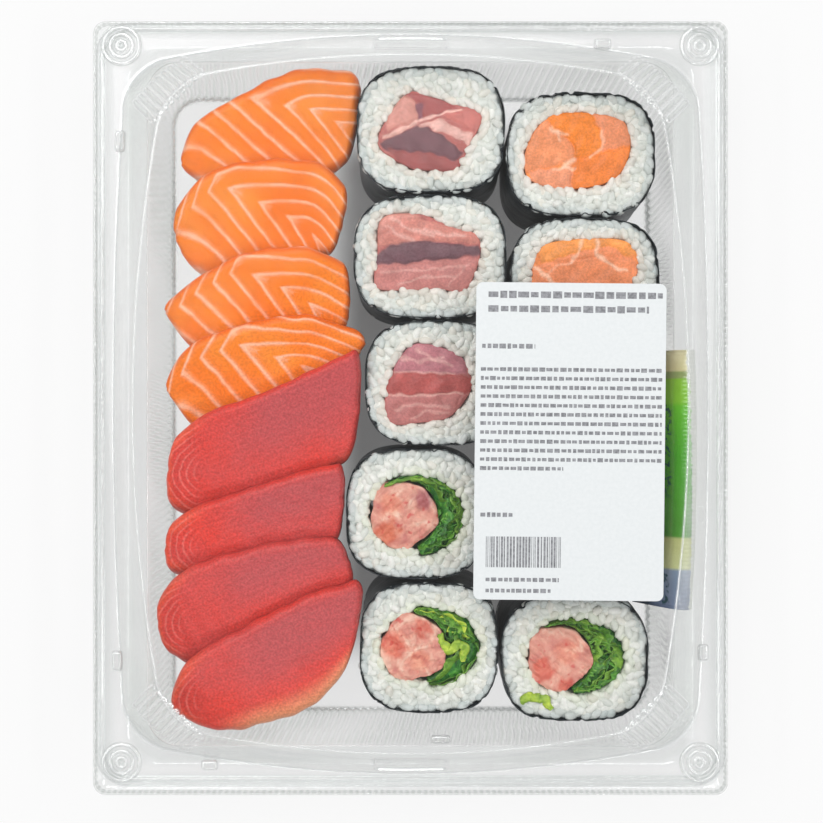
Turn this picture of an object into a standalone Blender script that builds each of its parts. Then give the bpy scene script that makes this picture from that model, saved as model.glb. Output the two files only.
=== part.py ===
# Takeaway sushi tray: a clear ribbed tray under a clear domed lid, filled with eight nigiri
# and ten thick rolls, with a sauce sachet along the right wall and a paper label on the lid.
# Metres, +Z up, +X to the right and +Y up the long side as seen from above.
# The origin is the middle of the underside of the tray.
import math
import random

import bmesh
import bpy
import numpy as np
from mathutils import Matrix, Vector
from mathutils.bvhtree import BVHTree

MM = 0.001
SHEET = 0.6 * MM            # thickness of the thermoformed sheet
GAP = 0.4 * MM              # air between pieces that rest on each other

# Tray: a flat rim with a turned-down lip round one straight-sided hollow
TRAY_HALF_X = 101.75 * MM
TRAY_HALF_Y = 124.0 * MM
TRAY_CORNER = 4.2 * MM
RIM_Z = 25.0 * MM
LIP_DROP = 3.5 * MM
WELL_HALF_X = 84.0 * MM
WELL_HALF_Y = 109.2 * MM
WELL_Y = 1.3 * MM           # the hollow and the lid sit off centre, as the rim is wider at its near end
WELL_CORNER = 10.0 * MM
WELL_DRAFT = (3.3 * MM, 5.6 * MM)       # how far the side and end walls lean in towards the floor
FLOOR_FILLET = 1.3 * MM

# Lid: a flange on the tray's rim, a bowed sloping wall and a flat top panel
LID_HALF_X = 101.0 * MM
LID_HALF_Y = 122.2 * MM
LID_CORNER = 11.0 * MM
LID_Z = RIM_Z + GAP + SHEET
BEAD_INSET = 2.5 * MM
BEAD_RISE = 0.7 * MM
BEAD_HALF = 0.7 * MM
WALL_SPAN = (0.08, 0.93)    # where the sloping wall's straight stretch starts and ends, from foot to panel
SHOULDER_RISE = 0.35 * MM   # how far the wall's upper edge bulges over a straight line to the panel
SHOULDER = 2.0 * MM
FOOT_HALF_X = 95.2 * MM
FOOT_HALF_Y = 118.3 * MM
FOOT_BOW = (3.8 * MM, 10.8 * MM)
FOOT_CORNER = 14.0 * MM
PANEL_HALF_X = 86.1 * MM
PANEL_HALF_Y = 108.3 * MM
PANEL_BOW = (10.0 * MM, 8.7 * MM)
PANEL_CORNER = 16.0 * MM
PANEL_Z = 40.3 * MM
BOSS_X = 92.3 * MM
BOSS_Y = 114.4 * MM
BOSS_RADIUS = 6.5 * MM
BOSS_STEPS = 14
BOSS_PROFILE = ((1.0, -0.3), (0.88, 0.6), (0.62, 0.12), (0.52, 0.5), (0.26, 0.12),
                (0.18, 0.5))            # shares of the radius, with heights in mm
FLUTES = 7
FLUTE_PITCH = 2.3 * MM
FLUTE_SPAN = (2.0 * MM, 11.0 * MM)      # along the corner's diagonal, out from the panel's edge
FLUTE_HALF = (0.9 * MM, 0.5 * MM)       # half width and half height
PANEL_CORNER_MIDDLE = (73.8 * MM, 96.7 * MM)
LUG = (5.0 * MM, 3.0 * MM, 1.6 * MM)
LUG_LIFT = 0.25 * MM
LUG_PLACES = ((-93.2, 85.4, 90), (-84.4, 85.0, 90), (-93.6, -80.6, 90), (93.3, -78.0, 90),
              (61.3, 114.6, 0), (-64.2, -113.9, 0))       # x and y in mm, turn in degrees

# Label on the lid
LABEL_SIZE = (58.7 * MM, 98.0 * MM)
LABEL_CENTRE = (49.2 * MM, -10.4 * MM)
LABEL_TURN = math.radians(-0.6)
LABEL_CORNER = 2.0 * MM
LABEL_THICKNESS = 0.3 * MM

# Rolls: x, y, width and depth in mm, then the filling
ROLL_HEIGHT = 27.6 * MM
ROLL_FOOT_Z = SHEET + GAP
ROLLS = {
    "m1": (6.4, 88.6, 47.6, 40.4, "tuna"),
    "m2": (6.2, 48.2, 49.0, 39.6, "tuna"),
    "m3": (8.1, 7.9, 45.6, 40.2, "tuna"),
    "m4": (1.6, -33.6, 44.6, 41.8, "minced"),
    "m5": (5.8, -76.3, 44.4, 41.6, "minced"),
    "r1": (54.2, 80.8, 47.6, 39.6, "salmon"),
    "r2": (55.4, 40.9, 47.6, 39.6, "salmon"),
    "r3": (52.6, 0.8, 42.0, 39.6, "salmon"),
    "r4": (50.6, -39.2, 43.0, 39.4, "minced"),
    "r5": (52.2, -79.6, 47.0, 40.2, "minced"),
}
ROLL_POWER = 3.0            # squareness of a roll's outline, where 2 is an ellipse
ROLL_SIDES = 22
ROLL_FAN = (0.015, 0.045)   # how much closer the rolls stand at their feet, as the walls lean
NORI = 0.5 * MM
NORI_TEAR = 0.5 * MM        # how uneven the seaweed's cut edge is
GRAIN_RISE = 0.6 * MM       # how far single grains stand out of the cut face
RICE_RINGS = (0.2, 0.75)    # where the rings of grains run, from the seaweed to the filling
HOLE_POINTS = 96            # points that a filling's outline is read at
DISC_SIDES = 14
CROWN = (-0.3 * MM, 0.4 * MM)           # mean height of a filling's cut face to the rice, and its unevenness
CROWN_START = 0.5           # how far out the cut face's inner ring lies
CORE_EDGE = 1.0 * MM        # how far the rim of a filling lies under its middle

# Outlines of the fillings that are one block of fish, in mm from the roll's centre
FILLINGS = {
    "m1": ((-7.2, 12.0), (-0.2, 10.8), (8.3, 8.0), (14.6, 6.6), (16.5, 3.5), (12.8, -4.1), (8.3, -12.4),
           (-0.2, -12.7), (-7.2, -11.7), (-16.6, -5.1), (-14.1, 3.5)),
    "m2": ((-15.3, 12.2), (-3.2, 13.6), (6.9, 9.6), (14.5, 7.2), (16.1, 0.9), (11.4, -10.5), (2.2, -10.2),
           (-7.0, -10.6), (-17.2, -9.6), (-16.8, 0.9)),
    "m3": ((-9.5, 10.8), (-2.9, 12.6), (6.9, 9.2), (10.4, 4.4), (11.2, -2.2), (4.5, -10.6), (-5.0, -12.6),
           (-14.6, -12.4), (-15.9, -1.3)),
    "r1": ((-9.7, 12.2), (0.4, 13.4), (12.8, 11.0), (15.9, 3.7), (13.4, -4.9), (7.0, -9.3), (-4.4, -10.9),
           (-15.1, -8.7), (-18.0, -3.0), (-16.0, 5.5)),
    "r2": ((-13.2, 10.7), (-1.8, 13.0), (12.6, 12.4), (17.2, 6.0), (15.0, -2.0), (8.0, -10.5), (-6.0, -11.5),
           (-15.6, -8.0), (-16.8, 2.1)),
    "r3": ((-11.0, 10.0), (1.0, 12.0), (11.5, 9.0), (13.6, 0.0), (10.5, -9.0), (-2.0, -11.0), (-12.0, -8.5),
           (-14.0, 1.0)),
}
# Minced tuna with leaves: hole's centre x, y and half sizes, then the disc's centre x, y and radius, in mm
MINCED = {
    "m4": (0.0, -0.8, 15.8, 13.2, -4.0, -0.4, 10.8),
    "m5": (-0.4, 0.0, 16.8, 12.8, -5.0, -0.2, 10.6),
    "r4": (-0.2, 0.0, 14.8, 12.4, -3.6, 0.0, 10.2),
    "r5": (-0.3, 0.0, 16.8, 12.4, -5.0, -0.2, 10.3),
}
LEAF_SWEEP = (-66.0, 84.0)  # degrees round the disc that the leaves fill
LEAF_STEPS = 7
LEAF_TOP = (-1.4 * MM, 0.1 * MM)        # lowest and highest edge of the leaves, to the rice

# Nigiri: upper and lower edge of each slice from its left to its right end, in mm
SLICES = {
    "salmon_1": (((-73.5, 80.5), (-68.0, 90.5), (-54.0, 98.5), (-36.0, 107.0), (-15.5, 108.0)),
                 ((-72.5, 75.5), (-61.0, 70.0), (-46.0, 72.5), (-30.0, 73.5), (-18.8, 81.0))),
    "salmon_2": (((-76.5, 61.5), (-66.0, 73.2), (-50.5, 77.8), (-29.0, 77.6), (-19.6, 69.5)),
                 ((-73.5, 48.0), (-62.0, 40.5), (-48.0, 44.5), (-35.0, 46.5), (-24.5, 50.0))),
    "salmon_3": (((-79.0, 33.5), (-66.5, 42.0), (-52.0, 49.0), (-32.0, 50.8), (-19.4, 45.0)),
                 ((-77.5, 28.0), (-67.0, 17.0), (-52.0, 21.0), (-36.0, 24.5), (-20.5, 24.0))),
    "salmon_4": (((-78.5, 8.5), (-70.0, 20.0), (-53.0, 26.3), (-33.0, 29.5), (-13.4, 23.0)),
                 ((-77.0, 3.0), (-67.0, -7.0), (-50.0, -1.0), (-34.0, 6.0), (-19.0, 13.5))),
    "tuna_1": (((-76.5, -11.0), (-66.0, -2.5), (-46.0, 5.3), (-30.0, 12.5), (-15.2, 19.6)),
               ((-79.0, -32.0), (-66.0, -36.0), (-50.0, -29.5), (-34.0, -24.5), (-17.8, -15.5))),
    "tuna_2": (((-77.5, -37.0), (-68.0, -31.5), (-52.0, -25.5), (-34.0, -20.0), (-20.6, -16.6)),
               ((-79.0, -52.0), (-67.0, -55.0), (-52.0, -49.5), (-36.0, -45.5), (-22.4, -43.0))),
    "tuna_3": (((-81.3, -60.5), (-70.0, -50.5), (-54.0, -45.0), (-37.0, -41.5), (-22.0, -40.5)),
               ((-80.0, -77.5), (-68.0, -83.5), (-52.0, -74.0), (-34.0, -64.0), (-17.4, -57.0))),
    "tuna_4": (((-76.5, -91.0), (-70.0, -79.5), (-54.0, -69.8), (-32.0, -58.6), (-14.2, -53.6)),
               ((-75.5, -98.0), (-62.0, -103.5), (-46.0, -101.0), (-30.0, -94.5), (-18.6, -80.0))),
}
SLICE_TOP_Z = 31.0 * MM
SLICE_THICKNESS = 5.4 * MM
SLICE_EDGE = 1.6 * MM
SLICE_LEAN = 0.25           # rise of a slice per unit towards the one it lies on
SLICE_DROOP = 5.2           # fall of a slice's ends, per metre squared
SLICE_GAP = 0.6 * MM
SLICE_U = (0.0, 0.05, 0.16, 0.32, 0.5, 0.68, 0.84, 0.95, 1.0)
SLICE_V = (0.0, 0.1, 0.32, 0.6, 0.88, 1.0)
FINGER_HALF = (23.0 * MM, 8.6 * MM)
FINGER_SHIFT = -3.2 * MM    # how far the rice lies below the middle of its slice
FINGER_GAP = 1.0 * MM
FINGER_GRAIN = 0.03         # unevenness of the pressed rice, as a share of its size

# Sachet: centre line of its cross-section from the lower to the upper edge, in mm, and its run along Y
SACHET_LINE = ((74.5, 13.5), (78.2, 19.8), (81.6, 26.0), (84.6, 30.6), (87.4, 33.0), (88.8, 32.2),
               (90.2, 30.6))
SACHET_THICK = (0.7, 3.0, 3.6, 3.2, 1.2, 0.7, 0.6)      # mm, where the last two are the flat crimped seam
SACHET_Y = (-63.5 * MM, 18.3 * MM)
SACHET_STEPS = (0.0, 0.04, 0.12, 0.3, 0.5, 0.7, 0.88, 0.96, 1.0)
SACHET_BOW = 0.6            # sideways curve along the lid's wall, per metre squared
SACHET_BOW_Y = -12.0 * MM
SACHET_FILM = 0.6 * MM      # thinnest part of the sachet
SACHET_ENDS = (0.25, 0.55, 3.0)         # fullness of the end seams, just inside them, and its growth inwards

SIDE_STEPS = 6              # points along each side of a tray or lid outline
CORNER_STEPS = 5            # points round each of their corners


def clear_scene():
    for item in list(bpy.data.objects):
        bpy.data.objects.remove(item, do_unlink=True)


def new_collection(name):
    group = bpy.data.collections.new(name)
    bpy.context.scene.collection.children.link(group)
    return group


def new_material(name, colour, roughness, alpha=1.0):
    material = bpy.data.materials.new(name)
    material.use_nodes = True
    shader = material.node_tree.nodes["Principled BSDF"]
    shader.inputs["Base Color"].default_value = (*colour, 1.0)
    shader.inputs["Roughness"].default_value = roughness
    shader.inputs["Metallic"].default_value = 0.0
    shader.inputs["Alpha"].default_value = alpha
    return material


def add_object(name, mesh, material, group):
    piece = bpy.data.objects.new(name, mesh)
    if material:
        piece.data.materials.append(material)
    group.objects.link(piece)
    return piece


def mesh_from(name, build, smooth_angle=35.0):
    """Runs build on a fresh bmesh, turns the faces outwards where the body is closed, and makes a mesh."""
    shape = bmesh.new()
    build(shape)
    if all(len(edge.link_faces) == 2 for edge in shape.edges):
        bmesh.ops.recalc_face_normals(shape, faces=shape.faces)
    mesh = bpy.data.meshes.new(name)
    shape.to_mesh(mesh)
    shape.free()
    mesh.shade_smooth()
    mesh.set_sharp_from_angle(angle=math.radians(smooth_angle))
    return mesh


def bridge(shape, lower, upper):
    """Joins two closed rows of vertices of equal length with a band of faces."""
    for i in range(len(lower)):
        j = (i + 1) % len(lower)
        shape.faces.new((lower[i], lower[j], upper[j], upper[i]))


def loft(shape, rings, cap_first=False, cap_last=False, closed=False):
    """Stacks rings of points into one surface; a closed loft joins its last ring to its first."""
    rows = [[shape.verts.new(point) for point in ring] for ring in rings]
    for lower, upper in zip(rows, rows[1:] + rows[:1] if closed else rows[1:]):
        bridge(shape, lower, upper)
    for row, wanted, order in ((rows[0], cap_first, -1), (rows[-1], cap_last, 1)):
        if wanted:
            shape.faces.new(row[::order])
    return rows


def slab(shape, upper, lower):
    """A closed body between two grids of points that have the same rows and columns."""
    sides = [[[shape.verts.new(point) for point in row] for row in grid] for grid in (upper, lower)]
    for grid, order in zip(sides, (1, -1)):
        for first, second in zip(grid, grid[1:]):
            for i in range(len(first) - 1):
                shape.faces.new((first[i], second[i], second[i + 1], first[i + 1])[::order])
    last_row, last_column = len(upper) - 1, len(upper[0]) - 1
    border = [(0, i) for i in range(last_column)] + [(j, last_column) for j in range(last_row)]
    border += [(last_row, i) for i in range(last_column, 0, -1)] + [(j, 0) for j in range(last_row, 0, -1)]
    for (a, b), (c, d) in zip(border, border[1:] + border[:1]):
        shape.faces.new((sides[0][a][b], sides[0][c][d], sides[1][c][d], sides[1][a][b]))


def smooth_loop(points, count):
    """Reads count points at even steps along a closed Catmull-Rom curve through the given points."""
    corners = np.array(points, dtype=float)
    total = len(corners)
    steps = np.linspace(0.0, total, count * 8, endpoint=False)
    first = steps.astype(int)
    t = (steps - first)[:, None]
    a, b, c, d = (corners[(first + shift) % total] for shift in (-1, 0, 1, 2))
    curve = 0.5 * (2 * b + (c - a) * t + (2 * a - 5 * b + 4 * c - d) * t**2 + (3 * b - a - 3 * c + d) * t**3)
    lengths = np.linalg.norm(np.roll(curve, -1, axis=0) - curve, axis=1)
    along = np.concatenate(([0.0], np.cumsum(lengths)))
    wanted = np.linspace(0.0, along[-1], count, endpoint=False)
    loop = np.vstack((curve, curve[:1]))
    return np.column_stack([np.interp(wanted, along, loop[:, axis]) for axis in (0, 1)])


def smooth_edge(points, u):
    """One point at u, from 0 to 1, on an open Catmull-Rom curve through evenly numbered points."""
    spans = len(points) - 1
    first = min(int(u * spans), spans - 1)
    t = u * spans - first
    a, b, c, d = (Vector(points[min(max(first + shift, 0), spans)]) for shift in (-1, 0, 1, 2))
    return 0.5 * (2 * b + (c - a) * t + (2 * a - 5 * b + 4 * c - d) * t**2 + (3 * b - a - 3 * c + d) * t**3)


def outline(half_x, half_y, corner, z, bow=(0.0, 0.0), middle_y=WELL_Y):
    """A rounded rectangle whose sides bow out towards their middles, as points at height z."""
    points = []
    turns = ((1, 1, 0), (-1, 1, 90), (-1, -1, 180), (1, -1, 270))
    for index, (sign_x, sign_y, start) in enumerate(turns):
        middle = (sign_x * (half_x - corner), sign_y * (half_y - corner))
        for step in range(CORNER_STEPS + 1):
            angle = math.radians(start + 90.0 * step / CORNER_STEPS)
            points.append((middle[0] + corner * math.cos(angle), middle[1] + corner * math.sin(angle)))
        next_x, next_y, next_start = turns[(index + 1) % 4]
        angle = math.radians(next_start)
        end = (next_x * (half_x - corner) + corner * math.cos(angle),
               next_y * (half_y - corner) + corner * math.sin(angle))
        last = points[-1]
        for step in range(1, SIDE_STEPS):
            part = step / SIDE_STEPS
            points.append((last[0] + (end[0] - last[0]) * part, last[1] + (end[1] - last[1]) * part))
    return [Vector((x - bow[0] * (y / half_y) ** 2 * x / half_x,
                    middle_y + y - bow[1] * (x / half_x) ** 2 * y / half_y, z)) for x, y in points]


def blend_rings(first, last, part):
    return [a.lerp(b, part) for a, b in zip(first, last)]


def shell(piece):
    """Gives an open surface its wall, below or inside the modelled skin."""
    wall = piece.modifiers.new("wall", "SOLIDIFY")
    wall.thickness = SHEET
    wall.offset = -1.0
    wall.use_even_offset = True


def tray_base(material, group):
    def build(shape):
        floor_half_x = WELL_HALF_X - WELL_DRAFT[0]
        floor_half_y = WELL_HALF_Y - WELL_DRAFT[1]
        edge = 0.45 * MM
        loft(shape, (
            outline(TRAY_HALF_X, TRAY_HALF_Y, TRAY_CORNER, RIM_Z - LIP_DROP, middle_y=0.0),
            outline(TRAY_HALF_X - edge, TRAY_HALF_Y - edge, TRAY_CORNER, RIM_Z - edge, middle_y=0.0),
            outline(TRAY_HALF_X - 2 * edge, TRAY_HALF_Y - 2 * edge, TRAY_CORNER - edge, RIM_Z, middle_y=0.0),
            outline(WELL_HALF_X + edge, WELL_HALF_Y + edge, WELL_CORNER + edge, RIM_Z),
            outline(WELL_HALF_X, WELL_HALF_Y, WELL_CORNER, RIM_Z - edge),
            outline(floor_half_x, floor_half_y, WELL_CORNER, SHEET + FLOOR_FILLET),
            outline(floor_half_x - FLOOR_FILLET, floor_half_y - FLOOR_FILLET,
                    WELL_CORNER - FLOOR_FILLET, SHEET),
        ), cap_last=True)

    shell(add_object("tray_base", mesh_from("tray_base", build), material, group))


def lid_rings():
    """The lid's outer skin from the flange's edge over the bead and the sloping wall to the top panel."""
    foot = outline(FOOT_HALF_X, FOOT_HALF_Y, FOOT_CORNER, LID_Z, FOOT_BOW)
    panel = outline(PANEL_HALF_X, PANEL_HALF_Y, PANEL_CORNER, PANEL_Z, PANEL_BOW)
    steps = ((0.0, 0.0), (BEAD_INSET - BEAD_HALF, 0.0), (BEAD_INSET, BEAD_RISE),
             (BEAD_INSET + BEAD_HALF, 0.0))
    rings = [outline(LID_HALF_X - inset, LID_HALF_Y - inset, LID_CORNER - inset, LID_Z + rise)
             for inset, rise in steps]
    rings.append(foot)
    rings += [blend_rings(foot, panel, part) for part in WALL_SPAN]
    rings[-1] = [point + Vector((0.0, 0.0, SHOULDER_RISE)) for point in rings[-1]]
    rings.append(outline(PANEL_HALF_X - SHOULDER, PANEL_HALF_Y - SHOULDER, PANEL_CORNER - SHOULDER,
                         PANEL_Z, PANEL_BOW))
    return rings


def boss(name, group):
    """A stacking boss: concentric rings turned about its axis."""
    angles = [math.tau * i / BOSS_STEPS for i in range(BOSS_STEPS)]

    def build(shape):
        rings = [[(share * BOSS_RADIUS * math.cos(angle), share * BOSS_RADIUS * math.sin(angle), height * MM)
                  for angle in angles] for share, height in BOSS_PROFILE]
        loft(shape, rings, cap_first=True, cap_last=True)

    return add_object(name, mesh_from(name, build), None, group)


def flute(name, start, end, normal, group):
    """A low rounded rib between two points of the lid's corner, half sunk in the sheet."""
    run = end - start
    turn = Matrix((run.normalized(), normal.cross(run).normalized(), normal)).transposed()

    def build(shape):
        bmesh.ops.create_cone(shape, cap_ends=True, segments=6, radius1=1.0, radius2=1.0, depth=run.length)
        bmesh.ops.rotate(shape, verts=shape.verts, matrix=Matrix.Rotation(math.radians(90), 3, "Y"))
        bmesh.ops.scale(shape, verts=shape.verts, vec=(1.0, *FLUTE_HALF))

    piece = add_object(name, mesh_from(name, build), None, group)
    piece.matrix_world = Matrix.Translation((start + end) / 2) @ turn.to_4x4()
    return piece


def lid(material, group, details):
    rings = lid_rings()

    def build(shape):
        loft(shape, rings, cap_last=True)

    mesh = mesh_from("lid", build)
    skin = bmesh.new()
    skin.from_mesh(mesh)
    tree = BVHTree.FromBMesh(skin)
    skin.free()

    def on_skin(x, y):
        point, normal, _, _ = tree.ray_cast(Vector((x, y, 1.0)), Vector((0.0, 0.0, -1.0)))
        return point, normal

    for sign_x in (1, -1):
        for sign_y in (1, -1):
            corner = f"{'right' if sign_x > 0 else 'left'}_{'top' if sign_y > 0 else 'bottom'}"
            boss(f"boss_{corner}", details).location = (sign_x * BOSS_X, WELL_Y + sign_y * BOSS_Y, LID_Z)
            for index in range(FLUTES):
                aside = (index - (FLUTES - 1) / 2) * FLUTE_PITCH
                ends = []
                for out in FLUTE_SPAN:
                    x = PANEL_CORNER_MIDDLE[0] + (out + aside) * math.sqrt(0.5)
                    y = PANEL_CORNER_MIDDLE[1] + (out - aside) * math.sqrt(0.5)
                    ends.append(on_skin(sign_x * x, WELL_Y + sign_y * y))
                (start, normal_in), (end, normal_out) = ends
                normal = (normal_in + normal_out).normalized()
                flute(f"flute_{corner}_{index}", start, end, normal, details)
    for index, (x, y, turn) in enumerate(LUG_PLACES):
        point, _ = on_skin(x * MM, y * MM)

        def build_lug(shape):
            bmesh.ops.create_cube(shape, size=1.0)
            bmesh.ops.scale(shape, verts=shape.verts, vec=LUG)

        piece = add_object(f"lug_{index}", mesh_from(f"lug_{index}", build_lug), None, details)
        piece.location = point + Vector((0.0, 0.0, LUG_LIFT))
        piece.rotation_euler = (0.0, 0.0, math.radians(turn))
    for piece in details.objects:
        piece.hide_render = True
        piece.display_type = "WIRE"

    piece = add_object("lid", mesh, material, group)
    shell(piece)
    join = piece.modifiers.new("bosses and flutes", "BOOLEAN")
    join.operation = "UNION"
    join.operand_type = "COLLECTION"
    join.collection = details
    join.solver = "EXACT"


def label(material, group):
    """A rounded rectangle as a filled flat curve with the paper's thickness."""
    half_x, half_y = LABEL_SIZE[0] / 2, LABEL_SIZE[1] / 2
    curve = bpy.data.curves.new("label", "CURVE")
    curve.dimensions = "2D"
    curve.fill_mode = "BOTH"
    curve.extrude = LABEL_THICKNESS / 2
    curve.resolution_u = 4
    spline = curve.splines.new("POLY")
    points = []
    for sign_x, sign_y, start in ((1, 1, 0), (-1, 1, 90), (-1, -1, 180), (1, -1, 270)):
        for step in range(5):
            angle = math.radians(start + 90.0 * step / 4)
            points.append((sign_x * (half_x - LABEL_CORNER) + LABEL_CORNER * math.cos(angle),
                           sign_y * (half_y - LABEL_CORNER) + LABEL_CORNER * math.sin(angle)))
    spline.points.add(len(points) - 1)
    for point, (x, y) in zip(spline.points, points):
        point.co = (x, y, 0.0, 1.0)
    spline.use_cyclic_u = True
    piece = add_object("label", curve, material, group)
    piece.location = (*LABEL_CENTRE, PANEL_Z + GAP + LABEL_THICKNESS / 2)
    piece.rotation_euler = (0.0, 0.0, LABEL_TURN)


def roll_outline(width, depth, inset, count=ROLL_SIDES):
    """A rounded square by the superellipse formula, drawn in by inset along its radius."""
    loop = []
    for index in range(count):
        angle = math.tau * (index + 0.5) / count
        c, s = math.cos(angle), math.sin(angle)
        reach = (abs(2 * c / width) ** ROLL_POWER + abs(2 * s / depth) ** ROLL_POWER) ** (-1 / ROLL_POWER)
        reach -= inset
        loop.append((reach * c, reach * s))
    return loop


def hole_outline(name, grow, count):
    """The edge of a roll's filling, moved out by grow."""
    if name in FILLINGS:
        loop = smooth_loop([(x * MM, y * MM) for x, y in FILLINGS[name]], count)
        lengths = np.linalg.norm(loop, axis=1)[:, None]
        return [tuple(point) for point in loop * (1 + grow / lengths)]
    x, y, half_x, half_y = (value * MM for value in MINCED[name][:4])
    return [(x + (half_x + grow) * math.cos(math.tau * i / count),
             y + (half_y + grow) * math.sin(math.tau * i / count)) for i in range(count)]


def match_angles(loop, guide):
    """Reads a star-shaped loop at the directions of the guide's points, so that the two can be joined."""
    angles = [math.atan2(y, x) for x, y in loop]
    reach = [math.hypot(x, y) for x, y in loop]
    order = np.argsort(angles)
    known = np.array(angles)[order]
    values = np.array(reach)[order]
    wanted = [math.atan2(y, x) for x, y in guide]
    read = np.interp(wanted, known, values, period=math.tau)
    return [(r * math.cos(a), r * math.sin(a)) for r, a in zip(read, wanted)]


def at_height(loop, centre, z):
    """Lifts a loop to its height; lower down, the rolls draw in towards the middle of the hollow."""
    heights = z if hasattr(z, "__len__") else [z] * len(loop)
    points = []
    for (x, y), height in zip(loop, heights):
        depth = (ROLL_FOOT_Z + ROLL_HEIGHT - height) / ROLL_HEIGHT
        points.append(Vector(((centre[0] + x) * (1 - ROLL_FAN[0] * depth),
                              WELL_Y + (centre[1] + y - WELL_Y) * (1 - ROLL_FAN[1] * depth), height)))
    return points


def nori(name, centre, width, depth, material, group):
    """The seaweed: an upright wall with a torn upper edge, thickened inwards."""
    draw = random.Random(f"nori {name}")
    top = ROLL_FOOT_Z + ROLL_HEIGHT
    loop = roll_outline(width, depth, 0.0)

    def build(shape):
        loft(shape, (at_height(loop, centre, ROLL_FOOT_Z),
                     at_height(loop, centre, [top - draw.uniform(0.0, NORI_TEAR) for _ in loop])))

    piece = add_object(f"nori_{name}", mesh_from(f"nori_{name}", build), material, group)
    wall = piece.modifiers.new("sheet", "SOLIDIFY")
    wall.thickness = NORI
    wall.offset = -1.0


def rice(name, centre, width, depth, material, group):
    """The ring of rice between seaweed and filling, with a bump for each grain that shows on top."""
    draw = random.Random(f"rice {name}")
    top = ROLL_FOOT_Z + ROLL_HEIGHT
    outer = roll_outline(width, depth, NORI + GAP)
    inner = match_angles(hole_outline(name, GAP, HOLE_POINTS), outer)
    rings = [at_height(outer, centre, ROLL_FOOT_Z), at_height(outer, centre, top - GRAIN_RISE)]
    for part in RICE_RINGS:
        loop = [(a[0] + (b[0] - a[0]) * part, a[1] + (b[1] - a[1]) * part) for a, b in zip(outer, inner)]
        rings.append(at_height(loop, centre, [top + draw.uniform(-1.0, 1.0) * GRAIN_RISE for _ in loop]))
    rings.append(at_height(inner, centre, [top - draw.uniform(0.5, 1.5) * GRAIN_RISE for _ in inner]))
    rings.append(at_height(inner, centre, ROLL_FOOT_Z))

    def build(shape):
        loft(shape, rings, closed=True)

    add_object(f"rice_{name}", mesh_from(f"rice_{name}", build), material, group)


def fish_core(name, centre, width, depth, material, group):
    """A block of fish down the middle of a roll, its cut face a little uneven."""
    draw = random.Random(f"core {name}")
    top = ROLL_FOOT_Z + ROLL_HEIGHT
    if name in FILLINGS:
        loop = match_angles(hole_outline(name, 0.0, HOLE_POINTS), roll_outline(width, depth, NORI + GAP))
    else:
        x, y, radius = (value * MM for value in MINCED[name][4:])
        angles = [math.tau * i / DISC_SIDES for i in range(DISC_SIDES)]
        loop = [(x + radius * math.cos(angle), y + radius * math.sin(angle)) for angle in angles]
    middle = (sum(x for x, _ in loop) / len(loop), sum(y for _, y in loop) / len(loop))
    inner = [(middle[0] + (x - middle[0]) * CROWN_START, middle[1] + (y - middle[1]) * CROWN_START)
             for x, y in loop]
    crown = [top + CROWN[0] + draw.uniform(-1.0, 1.0) * CROWN[1] for _ in loop]

    def build(shape):
        rows = loft(shape, (at_height(loop, centre, ROLL_FOOT_Z), at_height(loop, centre, top - CORE_EDGE),
                            at_height(inner, centre, crown)), cap_first=True)
        peak = shape.verts.new((centre[0] + middle[0], centre[1] + middle[1], top))
        for i in range(len(rows[-1])):
            shape.faces.new((rows[-1][i], rows[-1][(i + 1) % len(loop)], peak))

    add_object(f"filling_{name}", mesh_from(f"filling_{name}", build), material, group)


def leaves(name, centre, material, group):
    """The bundle of leaves beside minced tuna: a crescent between the disc and the rice."""
    draw = random.Random(f"leaves {name}")
    top = ROLL_FOOT_Z + ROLL_HEIGHT
    hole_x, hole_y, half_x, half_y, disc_x, disc_y, radius = (value * MM for value in MINCED[name])
    near, far = [], []
    for step in range(LEAF_STEPS + 1):
        angle = math.radians(LEAF_SWEEP[0] + (LEAF_SWEEP[1] - LEAF_SWEEP[0]) * step / LEAF_STEPS)
        c, s = math.cos(angle), math.sin(angle)
        near.append(Vector((disc_x + (radius + GAP) * c, disc_y + (radius + GAP) * s)))
        # distance from the disc's centre to the hole's ellipse in this direction
        px, py, dx, dy = (disc_x - hole_x) / half_x, (disc_y - hole_y) / half_y, c / half_x, s / half_y
        a, b, k = dx * dx + dy * dy, px * dx + py * dy, px * px + py * py - 1
        reach = (-b + math.sqrt(b * b - a * k)) / a
        reach = max(reach - GAP / 2, radius + 2 * GAP)
        far.append(Vector((disc_x + reach * c, disc_y + reach * s)))
    loop = [(point.x, point.y) for point in far + near[::-1]]
    rows = (at_height(loop, centre, ROLL_FOOT_Z),
            at_height(loop, centre, [top + draw.uniform(*LEAF_TOP) for _ in loop]))

    def build(shape):
        low, high = loft(shape, rows)
        count = len(near)
        for row in (low, high):
            for i in range(count - 1):
                shape.faces.new((row[i], row[i + 1], row[2 * count - 2 - i], row[2 * count - 1 - i]))

    add_object(f"leaves_{name}", mesh_from(f"leaves_{name}", build), material, group)


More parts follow.
